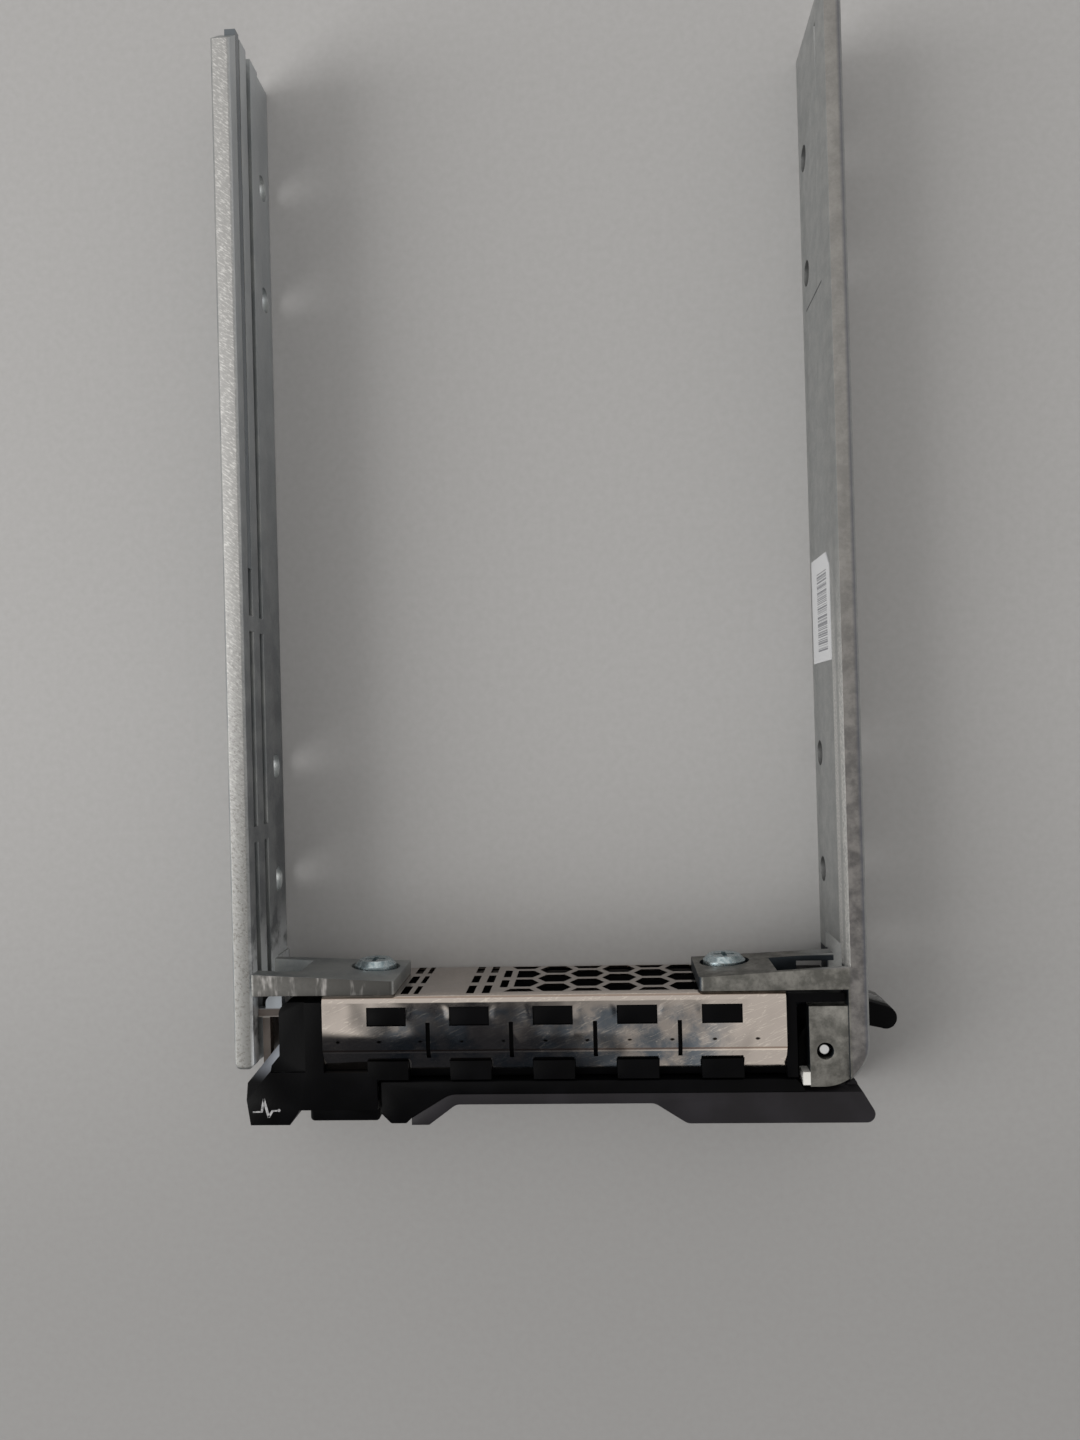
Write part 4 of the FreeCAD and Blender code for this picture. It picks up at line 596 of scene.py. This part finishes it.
class CADDY_OT_shield(bpy.types.Operator):
    """Presses the arches at the slits into the folded sheet"""
    bl_idname = "caddy.shield"
    bl_label = "Shield"

    def execute(self, context):
        half_arch, first_row, spacing = 1.5, 1.1, 0.2    # in millimetres
        row_count, column_count = 12, 7
        arch_rear, arch_front, flange = -2.2 * MM, -3.3 * MM, 1.2 * MM
        slope_foot, slope_head, front_slope = 1.15 * MM, 0.45 * MM, 1.0 * MM
        mesh = merged_copy("emi_shield")
        slits = [FINGER_CENTRE + FINGER_PITCH * (i - 1.5) for i in range(4)]
        # cuts across the two flanges that give the arches enough points to bend at
        rows = [(1, -(first_row + spacing * i) * MM) for i in range(row_count)]
        columns = [(0, slit + side * (half_arch + spacing * i) * MM) for slit in slits
                   for side in (-1, 1) for i in range(column_count)]
        for axis, place in rows + columns:
            mesh.normal_update()
            flat = [face for face in mesh.faces if abs(face.normal.z) > 0.9]
            edges = {edge for face in flat for edge in face.edges}
            verts = {vert for face in flat for vert in face.verts}
            normal = Vector([float(i == axis) for i in range(3)])
            bmesh.ops.bisect_plane(mesh, geom=[*flat, *edges, *verts], dist=0.0001 * MM,
                                   plane_co=normal * place, plane_no=normal)
        bmesh.ops.triangulate(mesh, faces=[face for face in mesh.faces if len(face.verts) > 4])
        for vert in mesh.verts:
            off = min(abs(vert.co.x - slit) for slit in slits)
            # distance outside an arch with round corners at its rear edge
            corner = Vector((max(0.0, off - half_arch * MM), max(0.0, vert.co.y - arch_rear)))
            share = (fade(corner.length, slope_foot, slope_head)
                     * fade(vert.co.y, arch_front, arch_front + front_slope))
            if min(vert.co.z, RAIL_TOP - vert.co.z) < flange:
                vert.co.z += math.copysign(share * context.scene.caddy.finger_relief,
                                           MIDDLE - vert.co.z)
        finish_piece("shield_sheet", mesh, "caddy", "nickel_spring_steel", "spring_steel",
                     "emi_shield")
        return {"FINISHED"}


class CADDY_OT_plastics(bpy.types.Operator):
    """Rounds the moulded parts' edges and gives them their matt skin"""
    bl_idname = "caddy.plastics"
    bl_label = "Moulded parts"

    def execute(self, context):
        width = context.scene.caddy.moulded_round
        # the last of each is how wide its rounding is, counted in that setting
        for name, node, body, material, slot, wide in (
                ("bezel_moulding", "bezel_body", "caddy", "black_abs_bezel", "black_plastic",
                 0.6),
                ("lever_moulding", "lever", "lever", "black_abs", "black_plastic", 1.0),
                ("handle_cover", "handle", "lever", "charcoal_abs", "charcoal_plastic", 1.6),
                ("button_cap", "release_button", "button", "black_abs", "black_plastic", 1.0)):
            softened(name, node, body, material, slot, width * wide)
        return {"FINISHED"}


class CADDY_OT_small_parts(bpy.types.Operator):
    """Gives the screws, pin, springs, light pipes, stop and label their finishes"""
    bl_idname = "caddy.small_parts"
    bl_label = "Small parts"

    def execute(self, context):
        for node, material in (("ear_screw_left", "zinc_plated_steel"),
                               ("ear_screw_right", "zinc_plated_steel"),
                               ("pivot_pin", "turned_pin_steel"), ("cam_plate", "turned_steel"),
                               ("lever_spring", "spring_wire"),
                               ("light_pipe_upper", "polycarbonate"),
                               ("light_pipe_lower", "polycarbonate"),
                               ("lever_stop", "white_nylon"), ("rail_label", "polyester_label")):
            data = NODES[node].data
            data.materials.clear()
            data.materials.append(MATERIALS[material])
        # the button's spring, which shortens against its seat as the button goes in, gets a mesh
        # of its own
        coil = finish_piece("button_coil", merged_copy("button_spring"), "caddy", "spring_wire",
                            "spring_steel", "button_spring")
        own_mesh(coil)
        return {"FINISHED"}


class CADDY_OT_mark(bpy.types.Operator):
    """Prints a pulse line on the wing's top"""
    bl_idname = "caddy.mark"
    bl_label = "Pulse mark"

    def execute(self, context):
        overlap, dot = 0.1 * MM, (0.19 * MM, 0.17 * MM)
        level = BEZEL_HIGH.z - WING_DROP + INK
        mesh = bmesh.new()
        for (xa, ya, wide), (xb, yb, _) in zip(PULSE, PULSE[1:]):
            start, end = Vector((xa * MM, ya * MM, level)), Vector((xb * MM, yb * MM, level))
            turn = (end - start).to_track_quat("X", "Z").to_matrix().to_4x4()
            size = Matrix.Diagonal(((end - start).length + overlap, wide * MM, INK, 1))
            bmesh.ops.create_cube(mesh, size=1.0,
                                  matrix=Matrix.Translation((start + end) / 2) @ turn @ size)
        bmesh.ops.create_cone(mesh, segments=16, radius1=dot[0], radius2=dot[1], depth=INK,
                              cap_ends=True, matrix=Matrix.Translation(end))
        finish_piece("pulse_mark", mesh, "caddy", "printed_mark", "label_film")
        return {"FINISHED"}


class CADDY_OT_stage(bpy.types.Operator):
    """Sets the table, the light, the room and the camera"""
    bl_idname = "caddy.stage"
    bl_label = "Stage"

    def execute(self, context):
        scene = context.scene
        scene.view_settings.view_transform = "Standard"
        mesh = bmesh.new()
        bmesh.ops.create_grid(mesh, x_segments=1, y_segments=1, size=TABLE_HALF)
        data = bpy.data.meshes.new("table")
        mesh.to_mesh(data)
        mesh.free()
        data.materials.append(MATERIALS["painted_table"])
        table = bpy.data.objects.new("table", data)
        scene.collection.objects.link(table)
        table.location.z = CAD_BOX[0][2] - TABLE_GAP

        lamp_data = bpy.data.lights.new("window", "AREA")
        lamp_data.energy = scene.caddy.lamp_power
        lamp_data.shape = "RECTANGLE"
        lamp_data.size, lamp_data.size_y = LAMP_SIZE
        lamp_data.color = LAMP_COLOUR
        lamp = bpy.data.objects.new("window", lamp_data)
        scene.collection.objects.link(lamp)
        lamp.location = LAMP_PLACE
        lamp.rotation_euler = (LAMP_AIM - lamp.location).to_track_quat("-Z", "Y").to_euler()

        world = bpy.data.worlds.new("room")
        scene.world = world
        world.use_nodes = True
        tree = world.node_tree
        around = add(tree, "TexCoord", {}, "Generated")
        x, y = add(tree, "SeparateXYZ", [around]).node.outputs[:2]
        room = add(tree, "Mix", {0: add(tree, "MapRange", (x, -0.5, 0.45), **SMOOTH),
                                 6: colour("E8E7E4"), 7: colour("D6D4D1")}, 2, **RGBA)
        # whoever leans over the table hides a patch of the ceiling, and stands in the way low
        # down: each edge is where, in a direction's x or y, the room is clear and where hidden
        head_left, head_right, head_rear = (-0.24, -0.17), (0.12, 0.05), (-0.02, -0.12)
        body_top, body_right = (-0.38, -0.5), (0.05, -0.02)
        thin = add(tree, "MapRange", (x, 0.0, -0.09, 0.5, 1.0), **SMOOTH)
        across = add(tree, "Math", (add(tree, "MapRange", (x, *head_left), **SMOOTH),
                                    add(tree, "MapRange", (x, *head_right), **SMOOTH)), **TIMES)
        across = add(tree, "Math", (across, thin), **TIMES)
        over = add(tree, "Math", (add(tree, "MapRange", (y, *head_rear), **SMOOTH), across),
                   **TIMES)
        low = add(tree, "Math", (add(tree, "MapRange", (y, *body_top), **SMOOTH),
                                 add(tree, "MapRange", (x, *body_right), **SMOOTH)), **TIMES)
        hidden = add(tree, "Math", (over, low), operation="MAXIMUM")
        room = add(tree, "Mix", {0: hidden, 6: room, 7: colour("292B2F")}, 2, **RGBA)
        seen = add(tree, "LightPath", {}, "Is Camera Ray")
        shown = add(tree, "Mix", {0: seen, 6: room, 7: colour("C9C7C4")}, 2, **RGBA)
        back = tree.nodes["Background"]
        tree.links.new(shown, back.inputs["Color"])
        back.inputs["Strength"].default_value = 1.0

        camera_data = bpy.data.cameras.new("camera")
        camera_data.sensor_width = CAMERA_SENSOR
        camera_data.lens = CAMERA_LENS
        camera_data.clip_start = CAMERA_NEAR
        camera = bpy.data.objects.new("camera", camera_data)
        scene.collection.objects.link(camera)
        roll, pan, tilt = (Matrix.Rotation(math.radians(angle), 4, axis)
                           for angle, axis in CAMERA_TURNS)
        camera.matrix_world = Matrix.Translation(CAMERA_PLACE) @ roll @ pan @ tilt
        scene.camera = camera
        return {"FINISHED"}


STEPS = (CADDY_OT_finishes, CADDY_OT_rails, CADDY_OT_shield, CADDY_OT_plastics,
         CADDY_OT_small_parts, CADDY_OT_mark, CADDY_OT_stage)


class CADDY_PT_panel(bpy.types.Panel):
    """Lists the caddy's settings and steps"""
    bl_idname = "CADDY_PT_panel"
    bl_label = "Drive caddy"
    bl_space_type = "VIEW_3D"
    bl_region_type = "UI"
    bl_category = "Caddy"

    def draw(self, context):
        for name in CaddySettings.__annotations__:
            self.layout.prop(context.scene.caddy, name)
        for step in STEPS:
            self.layout.operator(step.bl_idname)


CLASSES = (CaddySettings, *STEPS, CADDY_PT_panel)


def register():
    for item in CLASSES:
        bpy.utils.register_class(item)
    bpy.types.Scene.caddy = PointerProperty(type=CaddySettings)


def unregister():
    del bpy.types.Scene.caddy
    for item in reversed(CLASSES):
        bpy.utils.unregister_class(item)


def main():
    register()
    for step in STEPS:
        group, name = step.bl_idname.split(".")
        getattr(getattr(bpy.ops, group), name)()


if __name__ == "__main__":
    main()
